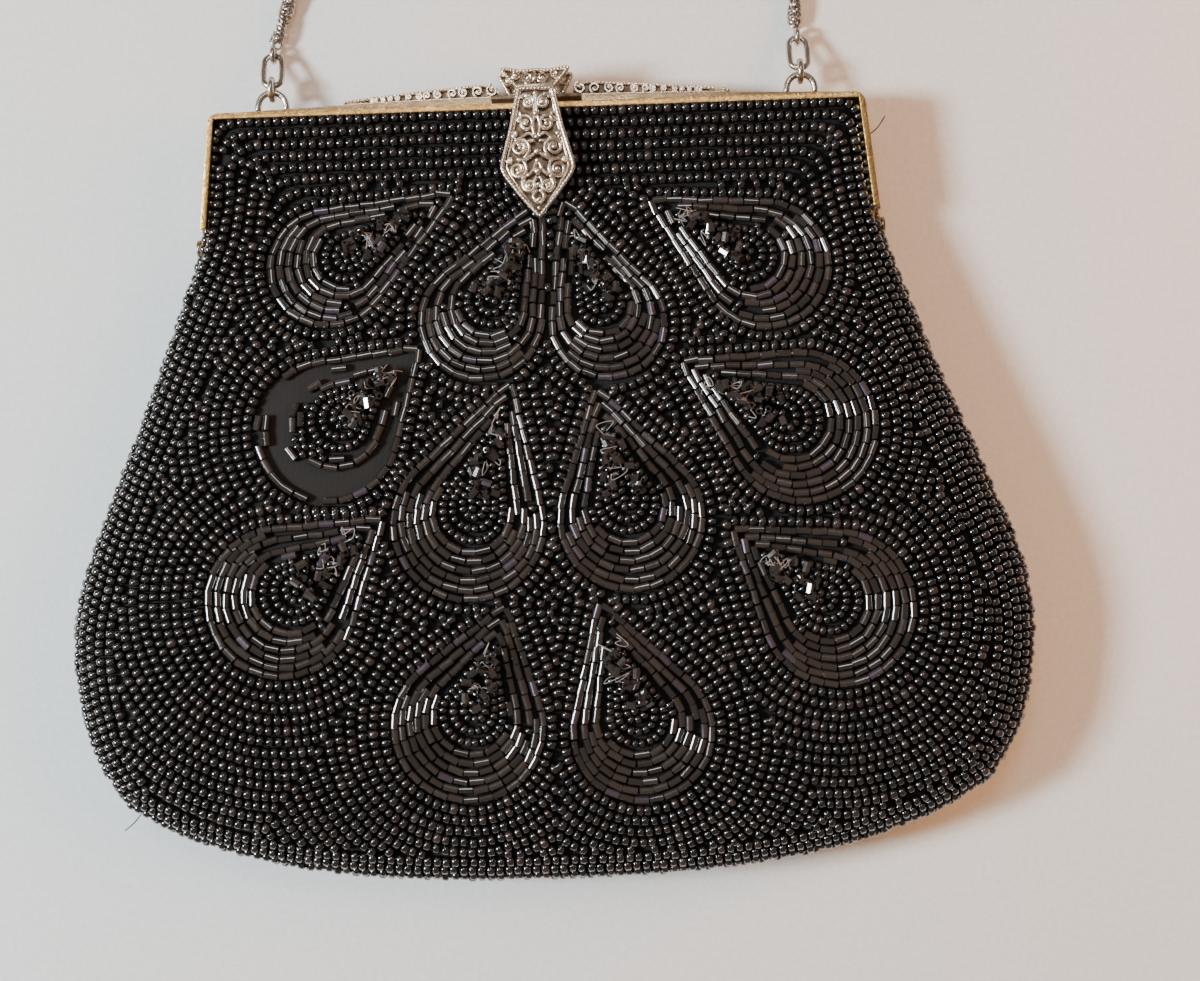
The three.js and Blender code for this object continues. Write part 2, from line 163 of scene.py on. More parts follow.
class Graph:
    """Builds the nodes of one material."""

    def __init__(self, name: str) -> None:
        """Starts an empty material.

        Args:
            name: The material's name.
        """
        self.material = bpy.data.materials.new(name)
        self.material.use_nodes = True
        self.tree = self.material.node_tree
        self.tree.nodes.clear()

    def node(self, kind: str, settings: dict | None = None,
             sockets: dict | None = None) -> bpy.types.Node:
        """Adds a node.

        Args:
            kind: The node's type.
            settings: Its properties, set first; "stops" fills a colour ramp.
            sockets: Values or links for its inputs, by name or number.

        Returns:
            The node.
        """
        node = self.tree.nodes.new(kind)
        for name, setting in (settings or {}).items():
            if name == "stops":
                self.fill_ramp(node.color_ramp, setting)
            else:
                setattr(node, name, setting)
        for name, value in (sockets or {}).items():
            socket = node.inputs[name]
            if isinstance(value, Value):
                value = value.socket
            if isinstance(value, bpy.types.NodeSocket):
                self.tree.links.new(value, socket)
            else:
                socket.default_value = value
        return node

    @staticmethod
    def fill_ramp(ramp: bpy.types.ColorRamp, stops: Sequence[tuple]) -> None:
        """Sets a ramp's stops.

        Args:
            ramp: The ramp.
            stops: Pairs of position and colour.
        """
        while len(ramp.elements) < len(stops):
            ramp.elements.new(0.5)
        for element, (position, colour) in zip(ramp.elements, stops):
            element.position = position
            element.color = (*colour, 1.0)

    def value(self, kind: str, settings: dict | None = None, sockets: dict | None = None,
              output: int | str = 0) -> Value:
        """Adds a node and returns one output as a Value."""
        return Value(self, self.node(kind, settings, sockets).outputs[output])

    def ramp(self, driver: Value, stops: Sequence[tuple]) -> bpy.types.NodeSocket:
        """Colour of a ramp driven by a value."""
        return self.node("ShaderNodeValToRGB", {"stops": stops}, {"Fac": driver}).outputs["Color"]

    def place(self) -> bpy.types.NodeSocket:
        """Object coordinates."""
        return self.node("ShaderNodeTexCoord").outputs["Object"]

    def noise(self, scale: float, detail: float = 3.0, roughness: float = 0.5) -> Value:
        """Noise on object coordinates.

        Args:
            scale: Cells per metre.
            detail: Octaves.
            roughness: Share of each finer octave.

        Returns:
            The noise, from 0 to 1.
        """
        sockets = {"Vector": self.place(), "Scale": scale, "Detail": detail, "Roughness": roughness}
        return self.value("ShaderNodeTexNoise", None, sockets)

    def attribute(self, name: str) -> Value:
        """A number stored on the mesh."""
        return self.value("ShaderNodeAttribute", {"attribute_name": name}, None, "Fac")

    def bump(self, height: Value, strength: float, distance: float) -> bpy.types.NodeSocket:
        """Normal bumped by a height in metres times distance."""
        sockets = {"Height": height, "Strength": strength, "Distance": distance}
        return self.node("ShaderNodeBump", None, sockets).outputs["Normal"]

    def surface(self, sockets: dict) -> bpy.types.Material:
        """Ends the graph in a Principled shader.

        Args:
            sockets: Its inputs.

        Returns:
            The finished material.
        """
        shader = self.node("ShaderNodeBsdfPrincipled", None, sockets)
        self.node("ShaderNodeOutputMaterial", None, {"Surface": shader.outputs["BSDF"]})
        return self.material


@dataclass(frozen=True)
class GlassFinish:
    """Black glass of beads, each with a tone of its own."""

    name: str
    dark: tuple[float, float, float]
    brown: tuple[float, float, float]
    hazed: tuple[float, float, float]
    rough: float
    rough_spread: float
    coat: float

    def material(self) -> bpy.types.Material:
        """Builds the glass."""
        graph = Graph(self.name)
        tone = graph.attribute("tone")
        stops = [(0.0, self.dark), (0.62, self.brown), (0.93, self.brown), (0.98, self.hazed)]
        colour = graph.ramp(tone, stops)
        haze = graph.noise(900.0, 2.0)
        rough = self.rough + self.rough_spread * tone * haze
        return graph.surface({"Base Color": colour, "Roughness": rough, "IOR": 1.72,
                              "Coat Weight": self.coat, "Coat Roughness": 0.04})


@dataclass(frozen=True)
class MetalFinish:
    """Worn metal: two tones in patches, and small pits."""

    name: str
    bright: tuple[float, float, float]
    worn: tuple[float, float, float]
    rough: tuple[float, float]
    patch_scale: float
    pit_scale: float = 2200.0
    pit_depth: float = 0.00008

    def material(self) -> bpy.types.Material:
        """Builds the metal."""
        graph = Graph(self.name)
        patches = graph.noise(self.patch_scale, 4.0, 0.6)
        colour = graph.ramp(patches, [(0.36, self.worn), (0.6, self.bright)])
        pits = graph.noise(self.pit_scale, 2.0)
        low, high = self.rough
        rough = low + (high - low) * (1.0 - patches)
        return graph.surface({"Base Color": colour, "Metallic": 1.0, "Roughness": rough,
                              "Normal": graph.bump(pits, 0.5, self.pit_depth)})


@dataclass(frozen=True)
class ClothFinish:
    """Woven cloth: two crossing sets of threads over a slow change of colour."""

    name: str
    colour: tuple[float, float, float]
    tint: tuple[float, float, float]
    rough: float
    threads_per_metre: float
    weave_depth: float
    sheen: float = 0.0
    bare: tuple[float, float, float] | None = None

    def material(self) -> bpy.types.Material:
        """Builds the cloth."""
        graph = Graph(self.name)
        scale = self.threads_per_metre
        waves = []
        for direction in ("X", "Y"):
            settings = {"wave_type": "BANDS", "bands_direction": direction}
            sockets = {"Vector": graph.place(), "Scale": scale, "Distortion": 1.2, "Detail": 2.0,
                       "Detail Scale": 3.0}
            waves.append(graph.value("ShaderNodeTexWave", settings, sockets, "Fac"))
        weave = waves[0] * 0.5 + waves[1] * 0.5
        slow = graph.noise(45.0, 3.0)
        colour = graph.ramp(slow * 0.7 + weave * 0.3, [(0.3, self.colour), (0.7, self.tint)])
        if self.bare:
            shown = graph.attribute("bareness") * (slow * 0.8 + weave * 0.7)
            colour = graph.node("ShaderNodeMix", {"data_type": "RGBA"},
                                {0: shown, 6: colour, 7: (*self.bare, 1.0)}).outputs[2]
        return graph.surface({"Base Color": colour, "Roughness": self.rough, "Sheen Weight": self.sheen,
                              "Normal": graph.bump(weave, 0.6, self.weave_depth)})


SEED_GLASS = GlassFinish("seed_glass", dark=(0.002, 0.0017, 0.002), brown=(0.008, 0.005, 0.0042),
                         hazed=(0.022, 0.016, 0.014), rough=0.08, rough_spread=0.2, coat=0.7)
BUGLE_GLASS = GlassFinish("bugle_glass", dark=(0.006, 0.0047, 0.0044), brown=(0.018, 0.0132, 0.0105),
                          hazed=(0.03, 0.021, 0.034), rough=0.1, rough_spread=0.3, coat=1.0)
BLACK_CREPE = ClothFinish("black_crepe", colour=(0.002, 0.0017, 0.002), tint=(0.004, 0.0032, 0.0034),
                          rough=0.9, threads_per_metre=1300.0, weave_depth=0.0002,
                          bare=(0.013, 0.0098, 0.0078))
SATIN = ClothFinish("black_satin", colour=(0.012, 0.010, 0.012), tint=(0.022, 0.018, 0.021), rough=0.38,
                    threads_per_metre=2500.0, weave_depth=0.00004, sheen=0.3)
THREAD = ClothFinish("loose_thread", colour=(0.16, 0.15, 0.15), tint=(0.3, 0.28, 0.27), rough=0.6,
                     threads_per_metre=3000.0, weave_depth=0.00002)
FRONT_GILT = MetalFinish("front_gilt", bright=(0.78, 0.47, 0.17), worn=(0.54, 0.3, 0.11), rough=(0.24, 0.46),
                         patch_scale=700.0, pit_scale=1800.0, pit_depth=0.0003)
REAR_GILT = MetalFinish("rear_gilt", bright=(0.52, 0.35, 0.2), worn=(0.34, 0.22, 0.13), rough=(0.2, 0.4),
                        patch_scale=400.0)
CLASP_SILVER = MetalFinish("clasp_silver", bright=(0.95, 0.79, 0.65), worn=(0.78, 0.62, 0.48),
                           rough=(0.18, 0.36), patch_scale=500.0)
# Near-black metal for the plates behind the pierced work and for the plate under the clasp: painted shade
# that stands in for the shadow in the piercings and in the gap beside the clasp.
SHADE_PAINT_METAL = MetalFinish("shade_paint_metal", bright=(0.25, 0.175, 0.12), worn=(0.1, 0.07, 0.048),
                          rough=(0.35, 0.55), patch_scale=500.0)
CHAIN_METAL = MetalFinish("chain_metal", bright=(0.66, 0.59, 0.52), worn=(0.4, 0.33, 0.28),
                          rough=(0.14, 0.3), patch_scale=400.0)


# ------------------------------------------------------------------------------------------------ meshes


def new_object(name: str, vertices: Points, faces: Sequence, scale: float = 1.0) -> bpy.types.Object:
    """Makes a mesh object from vertices and faces.

    Args:
        name: The object's name.
        vertices: Rows of x, y, z.
        faces: Vertex numbers of each face.
        scale: What the vertices are multiplied by.

    Returns:
        The new object, in the scene.
    """
    mesh = bpy.data.meshes.new(name)
    places = (np.asarray(vertices, float) * scale).tolist()
    mesh.from_pydata(places, [], [tuple(map(int, face)) for face in faces])
    obj = bpy.data.objects.new(name, mesh)
    bpy.context.scene.collection.objects.link(obj)
    return obj


def applied(obj: bpy.types.Object, name: str) -> bpy.types.Object:
    """Turns an object with modifiers, or a curve, into a plain mesh object.

    Args:
        obj: The object; it is removed.
        name: The new object's name.

    Returns:
        The plain mesh object.
    """
    depsgraph = bpy.context.evaluated_depsgraph_get()
    mesh = bpy.data.meshes.new_from_object(obj.evaluated_get(depsgraph), depsgraph=depsgraph)
    bpy.data.objects.remove(obj)
    plain = bpy.data.objects.new(name, mesh)
    plain.data.name = name
    bpy.context.scene.collection.objects.link(plain)
    return plain


def dress(obj: bpy.types.Object, material: bpy.types.Material, flat_angle: float | None = None) -> None:
    """Gives a mesh its material and shading.

    Args:
        obj: The mesh object.
        material: Its only material.
        flat_angle: Edges sharper than this many degrees stay sharp; None shades all of it smooth.
    """
    obj.data.materials.clear()
    obj.data.materials.append(material)
    obj.data.polygons.foreach_set("material_index", [0] * len(obj.data.polygons))
    obj.data.shade_smooth()
    if flat_angle is not None:
        obj.data.set_sharp_from_angle(angle=math.radians(flat_angle))


def node_copy(node: str, name: str) -> bpy.types.Object:
    """Copy of a CAD node's mesh with its doubles merged.

    Args:
        node: The CAD node.
        name: The copy's name.

    Returns:
        The copy, at the origin.
    """
    obj = bpy.data.objects.new(name, frame["nodes"][node].data.copy())
    obj.data.name = name
    bpy.context.scene.collection.objects.link(obj)
    obj.data.transform(frame["nodes"][node].matrix_world)
    weld = obj.modifiers.new("weld", "WELD")
    weld.merge_threshold = 0.00001
    return obj


def bevelled(node: str, name: str, width: float, segments: int = 2) -> bpy.types.Object:
    """CAD node with rounded edges.

    Args:
        node: The CAD node.
        name: The new piece's name.
        width: Width of the rounding in millimetres.
        segments: Steps across it.

    Returns:
        The piece, which replaces the node.
    """
    obj = node_copy(node, name)
    flat = obj.modifiers.new("flat", "DECIMATE")
    flat.decimate_type = "DISSOLVE"
    flat.angle_limit = math.radians(2.0)
    bevel = obj.modifiers.new("bevel", "BEVEL")
    bevel.width = width * MM
    bevel.segments = segments
    bevel.angle_limit = math.radians(28.0)
    piece = applied(obj, name)
    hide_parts(node)
    return piece


def rounded(node: str, name: str, fuller: float = 0.0, levels: int = 2) -> bpy.types.Object:
    """CAD wire or ring subdivided to a smooth round one, which replaces the node.

    Args:
        node: The CAD node.
        name: The new piece's name.
        fuller: Millimetres added to the wire's radius.
        levels: Times it is subdivided.

    Returns:
        The piece.
    """
    obj = node_copy(node, name)
    fill = obj.modifiers.new("fuller", "DISPLACE")
    fill.strength = fuller * MM
    fill.mid_level = 0.0
    subdivision = obj.modifiers.new("round", "SUBSURF")
    subdivision.levels = levels
    subdivision.render_levels = levels
    piece = applied(obj, name)
    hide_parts(node)
    return piece


# ------------------------------------------------------------------------------------------------ sewn rows


class Shape(Enum):
    """Kinds of bead, by how their outline is turned."""

    SEED = "seed"
    BUGLE = "bugle"
    CUT = "cut"


@dataclass(frozen=True)
class Bead:
    """One bead, turned about its thread."""

    shape: Shape
    length: float
    diameter: float
    hole: float
    sides: int

    def profile(self) -> list[tuple[float, float]]:
        """Closed outline as pairs of place along the thread and radius."""
        half, outer, inner = self.length / 2, self.diameter / 2, self.hole / 2
        if self.shape is Shape.SEED:
            return [(-half * 0.72, inner), (-half, outer * 0.6), (-half * 0.52, outer * 0.97),
                    (half * 0.52, outer * 0.97), (half, outer * 0.6), (half * 0.72, inner)]
        chamfer = 0.04 * self.length
        return [(-half, inner), (-half, outer * 0.76), (chamfer - half, outer), (half - chamfer, outer),
                (half, outer * 0.76), (half, inner)]

    def build(self) -> bpy.types.Object:
        """Makes the bead at the origin with its thread along X, in metres."""
        profile = self.profile()
        around, count = self.sides, len(profile)
        vertices = []
        for step in range(around):
            angle = 2 * math.pi * (step + 0.5) / around
            vertices += [(x, r * math.cos(angle), r * math.sin(angle)) for x, r in profile]
        faces = []
        for step in range(around):
            here, after = step * count, ((step + 1) % around) * count
            for k in range(count):
                beside = (k + 1) % count
                faces.append((here + k, after + k, after + beside, here + beside))
        obj = new_object(f"{self.shape.value}_pattern", np.array(vertices), faces, MM)
        obj.data.shade_smooth()
        if self.shape is not Shape.SEED:
            obj.data.set_sharp_from_angle(angle=math.radians(40.0))
        return obj


@dataclass
class Sewing:
    """Places of beads: where each is, its thread's direction and its outward direction."""

    at: list = field(default_factory=list)
    along: list = field(default_factory=list)
    out: list = field(default_factory=list)

    def add(self, at: Points, along: Points, out: Points) -> None:
        """Adds one bead."""
        self.at.append(at)
        self.along.append(along)
        self.out.append(out)

    def picked(self, keep: Points) -> "Sewing":
        """The beads that a mask keeps."""
        numbers = np.nonzero(keep)[0]
        pick = lambda values: [values[number] for number in numbers]
        return Sewing(pick(self.at), pick(self.along), pick(self.out))


class SewingTree:
    """Geometry Nodes that set a bead on each point of a mesh."""

    def __init__(self) -> None:
        """Builds the tree once; pieces share it."""
        self.tree = bpy.data.node_groups.new("sewn_beads", "GeometryNodeTree")
        inputs = (("Geometry", "Geometry"), ("Bead", "Object"), ("Size spread", "Float"), ("Tilt", "Float"),
                  ("Seed", "Int"), ("Finish", "Material"))
        self.ids = {}
        for name, kind in inputs:
            socket = self.tree.interface.new_socket(name, in_out="INPUT", socket_type=f"NodeSocket{kind}")
            self.ids[name] = socket.identifier
        self.tree.interface.new_socket("Geometry", in_out="OUTPUT", socket_type="NodeSocketGeometry")
        self.build()

    def node(self, kind: str, settings: dict | None = None,
             sockets: dict | None = None) -> bpy.types.Node:
        """Adds a node with its settings and its inputs' values or links."""
        node = self.tree.nodes.new(kind)
        for name, setting in (settings or {}).items():
            setattr(node, name, setting)
        for name, value in (sockets or {}).items():
            if isinstance(value, bpy.types.NodeSocket):
                self.tree.links.new(value, node.inputs[name])
            else:
                node.inputs[name].default_value = value
        return node

    def stored(self, name: str) -> bpy.types.NodeSocket:
        """A direction stored on the points."""
        settings = {"data_type": "FLOAT_VECTOR"}
        return self.node("GeometryNodeInputNamedAttribute", settings, {"Name": name}).outputs["Attribute"]

    def random(self, low: float, high: float, seed: bpy.types.NodeSocket,
               shift: int) -> bpy.types.NodeSocket:
        """A number for each point, from low to high."""
        moved = self.node("ShaderNodeMath", {"operation": "ADD"}, {0: seed, 1: float(shift)})
        node = self.node("FunctionNodeRandomValue", {"data_type": "FLOAT"}, {"Seed": moved.outputs[0]})
        node.inputs[2].default_value = low
        node.inputs[3].default_value = high
        return node.outputs[1]

    def build(self) -> None:
        """Links the whole tree."""
        given = self.node("NodeGroupInput").outputs
        seed = given["Seed"]
        tone = self.random(0.0, 1.0, seed, 0)
        toned = self.node("GeometryNodeStoreNamedAttribute", {"data_type": "FLOAT", "domain": "POINT"},
                          {"Geometry": given["Geometry"], "Name": "tone", "Value": tone})
        facing = self.node("FunctionNodeAxesToRotation", {"primary_axis": "X", "secondary_axis": "Z"},
                           {"Primary Axis": self.stored("along"), "Secondary Axis": self.stored("out")})
        turns = [self.node("ShaderNodeMath", {"operation": "MULTIPLY"},
                           {0: self.random(-1.0, 1.0, seed, 11 + axis), 1: given["Tilt"]})
                 for axis in range(3)]
        tilt = self.node("ShaderNodeCombineXYZ", None,
                         {axis: turn.outputs[0] for axis, turn in enumerate(turns)})
        wobble = self.node("FunctionNodeEulerToRotation", None, {"Euler": tilt.outputs[0]})
        turned = self.node("FunctionNodeRotateRotation", {"rotation_space": "LOCAL"},
                           {"Rotation": facing.outputs[0], "Rotate By": wobble.outputs[0]})
        spread = self.node("ShaderNodeMath", {"operation": "MULTIPLY_ADD"},
                           {0: self.random(-1.0, 1.0, seed, 23), 1: given["Size spread"], 2: 1.0})
        pattern = self.node("GeometryNodeObjectInfo", None, {"Object": given["Bead"]})
        set_out = self.node("GeometryNodeInstanceOnPoints", None,
                            {"Points": toned.outputs["Geometry"], "Instance": pattern.outputs["Geometry"],
                             "Rotation": turned.outputs[0], "Scale": spread.outputs[0]})
        real = self.node("GeometryNodeRealizeInstances", None, {"Geometry": set_out.outputs["Instances"]})
        bare = real.outputs["Geometry"]
        for name in ("along", "out"):
            cleared = self.node("GeometryNodeRemoveAttribute", None, {"Geometry": bare, "Name": name})
            bare = cleared.outputs["Geometry"]
        finished = self.node("GeometryNodeSetMaterial", None,
                             {"Geometry": bare, "Material": given["Finish"]})
        self.node("NodeGroupOutput", None, {"Geometry": finished.outputs["Geometry"]})

    def sew(self, name: str, sewing: Sewing, bead: Bead, finish: bpy.types.Material, seed: int,
            spread: float = 0.06, tilt: float = 0.09) -> bpy.types.Object:
        """Sets beads on their places.

        Args:
            name: The piece's name.
            sewing: The places, in millimetres from the bar's corner line.
            bead: The bead.
            finish: Its material.
            seed: Seed of the spread of sizes, turns and tones.
            spread: Share by which a bead's size may differ.
            tilt: How far a bead may turn, in radians.

        Returns:
            The piece as a plain mesh.
        """
        points = new_object(name, to_row(np.array(sewing.at)), [])
        for attribute, values in (("along", sewing.along), ("out", sewing.out)):
            layer = points.data.attributes.new(attribute, "FLOAT_VECTOR", "POINT")
            layer.data.foreach_set("vector", np.array(values, np.float32).ravel())
        pattern = bead.build()
        modifier = points.modifiers.new("beads", "NODES")
        modifier.node_group = self.tree
        for key, value in (("Bead", pattern), ("Size spread", spread), ("Tilt", tilt), ("Seed", seed),
                           ("Finish", finish)):
            modifier[self.ids[key]] = value
        piece = applied(points, name)
        bpy.data.objects.remove(pattern)
        LOG.info("%s: %d beads, %d faces", name, len(sewing.at), len(piece.data.polygons))
        return piece


# ------------------------------------------------------------------------------------------------ bag form


def spline(points: Sequence[tuple[float, float]], per_span: int = 14) -> Points:
    """Centripetal Catmull-Rom curve through flat points.

    Args:
        points: Pairs of x and y.
        per_span: Steps in each span.

    Returns:
        Rows of x, y along the curve.
    """
    known = np.array(points, float)
    known = np.vstack([2 * known[0] - known[1], known, 2 * known[-1] - known[-2]])
    curve = []
    for p0, p1, p2, p3 in zip(known, known[1:], known[2:], known[3:]):
        t1 = np.linalg.norm(p1 - p0) ** 0.5
        t2 = t1 + np.linalg.norm(p2 - p1) ** 0.5
        t3 = t2 + np.linalg.norm(p3 - p2) ** 0.5
        for t in np.linspace(t1, t2, per_span, endpoint=False):
            a1 = (t1 - t) / t1 * p0 + t / t1 * p1
            a2 = (t2 - t) / (t2 - t1) * p1 + (t - t1) / (t2 - t1) * p2
            a3 = (t3 - t) / (t3 - t2) * p2 + (t - t2) / (t3 - t2) * p3
            b1 = (t2 - t) / t2 * a1 + t / t2 * a2
            b2 = (t3 - t) / (t3 - t1) * a2 + (t - t1) / (t3 - t1) * a3
            curve.append((t2 - t) / (t2 - t1) * b1 + (t - t1) / (t2 - t1) * b2)
    return np.array([*curve, known[-2]])


@dataclass(frozen=True)
class Puff:
    """How far one side of the bag swells over its seam."""

    at_frame: float
    full: float
    starts: float
    grows: float
    edge_at_frame: float
    edge: float


@dataclass
class BagForm:
    """The bag's outline and the height of its two sides, in millimetres from the bar's corner line."""

    parting: float = 9.0
    seam_rise: float = 2.2
    power: float = 2.3
    top: float = -1.6
    hinge: float = -27.0
    side: tuple = ((66.5, -1.6), (68.9, -24), (73.6, -38), (81.9, -60), (90.3, -80), (96.8, -98),
                   (98.2, -111), (94.8, -130), (88.2, -141.2))
    bottom: tuple = ((88.2, -141.2), (76, -147.8), (55, -154.3), (28, -157.8), (0, -158.5))
    front: Puff = Puff(2.3, 12.3, 15, 60, 6, 45)
    back: Puff = Puff(2.2, 6.8, 5, 38, 6, 22)

    def __post_init__(self) -> None:
        """Works out the seam's line."""
        self.side_line = spline(self.side)
        mirrored = [(-x, y) for x, y in self.bottom[:-1]][::-1]
        self.bottom_line = spline((*self.bottom, *mirrored))
        half = self.bottom_line[self.bottom_line[:, 0] >= 0]
        self.seam = np.vstack([self.side_line, half[1:]])

    def seam_distance(self, x: Points, y: Points) -> Points:
        """Distance of points from the side and bottom seams."""
        points = np.stack([np.abs(x).ravel(), np.asarray(y, float).ravel()], 1)
        start, step = self.seam[:-1], np.diff(self.seam, axis=0)
        nearest = np.full(len(points), 1e9)
        length = (step ** 2).sum(1)
        for chunk in range(0, len(points), 20000):
            part = points[chunk:chunk + 20000]
            offset = part[:, None] - start
            along = np.clip((offset * step).sum(2) / length, 0, 1)
            gap = offset - along[..., None] * step
            nearest[chunk:chunk + 20000] = np.sqrt((gap ** 2).sum(2)).min(1)
        return nearest.reshape(np.shape(x))

    def inside(self, x: Points, y: Points) -> Points:
        """True for points within the outline."""
        half = np.interp(y, self.seam[::-1, 1], self.seam[::-1, 0])
        return (np.abs(x) < half) & (np.asarray(y) < self.top) & (np.asarray(y) > self.seam[:, 1].min())

    def rise(self, puff: Puff, x: Points, y: Points) -> Points:
        """Height of one side over the parting plane."""
        grown = smooth((-np.asarray(y) - puff.starts) / puff.grows)
        reach = puff.edge_at_frame + (puff.edge - puff.edge_at_frame) * grown
        half = np.interp(y, self.seam[::-1, 1], self.seam[::-1, 0])
        distance = np.where(np.abs(x) < half, self.seam_distance(x, y), 0.0)
        away = 1 - np.clip(distance / reach, 0, 1)
        pillow = (1 - away ** self.power) ** (1 / self.power)
        return self.seam_rise + (puff.at_frame + (puff.full - puff.at_frame) * grown) * pillow

    def height(self, facing: int, x: Points, y: Points) -> Points:
        """Height of the front (facing 1) or back (facing -1) surface."""
        return self.parting + facing * self.rise(self.front if facing > 0 else self.back, x, y)

    def lifted(self, facing: int, flat: Points, lift: float = 0.0) -> tuple[Points, Points]:
        """Puts flat points on a surface.

        Args:
            facing: 1 for the front, -1 for the back.
            flat: Rows of x, y.
            lift: Distance out of the surface.

        Returns:
            The points on the surface, and the directions out of it.
        """
        x, y = flat[:, 0], flat[:, 1]
        step = 0.25
        slope_x = (self.height(facing, x + step, y) - self.height(facing, x - step, y)) / (2 * step)
        slope_y = (self.height(facing, x, y + step) - self.height(facing, x, y - step)) / (2 * step)
        steepest = 3.0
        out = np.stack([-np.clip(slope_x, -steepest, steepest), -np.clip(slope_y, -steepest, steepest),
                        np.ones_like(x)], 1) * facing
        out /= np.linalg.norm(out, axis=1)[:, None]
        on = np.stack([x, y, self.height(facing, x, y)], 1)
        return on + out * lift, out

    def grid(self, rows: int, columns: int, inset: float = 0.0) -> Points:
        """Flat grid of points between the side edges and the bottom seam, closer together near the seams.

        Args:
            rows: Steps from the bar to the bottom.
            columns: Steps across.
            inset: How far the grid keeps inside the seams.

        Returns:
            An array of rows, columns and x, y.
        """
        side = self.side_line[::-1]
        corner = self.side_line[-1]
        across = (1 - np.cos(np.pi * np.linspace(0, 1, columns + 1))) / 2
        across = 0.6 * across + 0.4 * np.linspace(0, 1, columns + 1)
        travel = np.concatenate([[0], np.cumsum(np.linalg.norm(np.diff(self.bottom_line, axis=0), axis=1))])
        due = (1 - across) * travel[-1]
        below = np.stack([np.interp(due, travel, self.bottom_line[:, axis]) for axis in (0, 1)], 1)
        grid = []
        for down in np.sin(np.pi / 2 * np.linspace(0, 1, rows + 1)):
            y_side = self.top + (corner[1] - self.top) * down
            x_side = np.interp(y_side, side[:, 1], side[:, 0])
            x = (2 * across - 1) * (x_side - corner[0] * down) + below[:, 0] * down
            y = self.top * (1 - down) + below[:, 1] * down
            grid.append(np.stack([x, y], 1))
        grid = np.array(grid)
        if inset:
            grid = MIDDLE + (grid - MIDDLE) * (1 - inset / abs(MIDDLE[1]))
            grid[..., 1] = np.minimum(grid[..., 1], self.top)
        return grid


# ------------------------------------------------------------------------------------------------ row plans


def contour(xs: Points, ys: Points, field_values: Points, level: float) -> list[Points]:
    """Lines where a gridded field passes a level.

    Args:
        xs: Columns' places.
        ys: Rows' places.
        field_values: The field, one row for each y.
        level: The level.

    Returns:
        Flat polylines.
    """
    above = field_values > level
    code = above[:-1, :-1] * 1 + above[:-1, 1:] * 2 + above[1:, 1:] * 4 + above[1:, :-1] * 8
    sides = {1: [(3, 0)], 2: [(0, 1)], 3: [(3, 1)], 4: [(1, 2)], 5: [(3, 0), (1, 2)], 6: [(0, 2)],
             7: [(3, 2)], 8: [(2, 3)], 9: [(0, 2)], 10: [(0, 1), (2, 3)], 11: [(1, 2)], 12: [(1, 3)],
             13: [(0, 1)], 14: [(0, 3)]}
    ends = {0: ((0, 0), (0, 1)), 1: ((0, 1), (1, 1)), 2: ((1, 0), (1, 1)), 3: ((0, 0), (1, 0))}
    links: dict = {}
    for row, column in zip(*np.nonzero((code > 0) & (code < 15))):
        for pair in sides[int(code[row, column])]:
            keys = []
            for side in pair:
                (r0, c0), (r1, c1) = ends[side]
                keys.append(((row + r0, column + c0), (row + r1, column + c1)))
            links.setdefault(keys[0], []).append(keys[1])
            links.setdefault(keys[1], []).append(keys[0])

    def crossing(key: tuple) -> tuple[float, float]:
        """Place on a grid edge where the level is passed."""
        (r0, c0), (r1, c1) = key
        v0, v1 = field_values[r0, c0], field_values[r1, c1]
        share = (level - v0) / (v1 - v0)
        return xs[c0] + (xs[c1] - xs[c0]) * share, ys[r0] + (ys[r1] - ys[r0]) * share

    lines = []
    starts = sorted(links, key=lambda key: (len(links[key]) != 1, key))
    seen = set()
    for start in starts:
        if start in seen:
            continue
        chain, here = [start], start
        seen.add(start)
        while True:
            onward = [key for key in links[here] if key not in seen]
            if not onward:
                break
            here = onward[0]
            seen.add(here)
            chain.append(here)
        if len(chain) > 2 and chain[0] in links[here]:
            chain.append(chain[0])
        if len(chain) > 3:
            lines.append(np.array([crossing(key) for key in chain]))
    return lines


def spaced(line: Points, pitch: float) -> tuple[Points, Points]:
    """Evenly spaced places on a polyline.

    Args:
        line: Rows of points.
        pitch: Distance between places; it is eased so that a whole number fits.

    Returns:
        The places and the line's directions there.
    """
    steps = np.linalg.norm(np.diff(line, axis=0), axis=1)
    travel = np.concatenate([[0], np.cumsum(steps)])
    count = int(round(travel[-1] / pitch))
    if count < 1:
        return np.zeros((0, line.shape[1])), np.zeros((0, line.shape[1]))
    at = (np.arange(count) + 0.5) * travel[-1] / count
    reach = min(pitch / 2, travel[-1] / count / 2)

    def sample(where: Points) -> Points:
        """Points of the line at distances along it."""
        return np.stack([np.interp(where, travel, line[:, axis]) for axis in range(line.shape[1])], 1)

    ahead = sample(at + reach) - sample(at - reach)
    ahead /= np.maximum(np.linalg.norm(ahead, axis=1), 1e-9)[:, None]
    return sample(at), ahead


class Spacing:
    """Keeps beads of different rows from lying in each other."""

    def __init__(self, cell: float = 3.0) -> None:
        """Starts empty, with cells of a size in millimetres."""
        self.cell = cell
        self.cells: dict = {}

    def near(self, point: Points, row: int) -> float:
        """Distance to the nearest kept point of another row."""
        home = tuple(np.floor(point / self.cell).astype(int))
        best = 1e9
        for dx in (-1, 0, 1):
            for dy in (-1, 0, 1):
                for dz in (-1, 0, 1):
                    for other, number in self.cells.get((home[0] + dx, home[1] + dy, home[2] + dz), ()):
                        if number != row:
                            best = min(best, math.dist(point, other))
        return best

    def keep(self, point: Points, row: int) -> None:
        """Remembers a point."""
        home = tuple(np.floor(point / self.cell).astype(int))
        self.cells.setdefault(home, []).append((tuple(point), row))


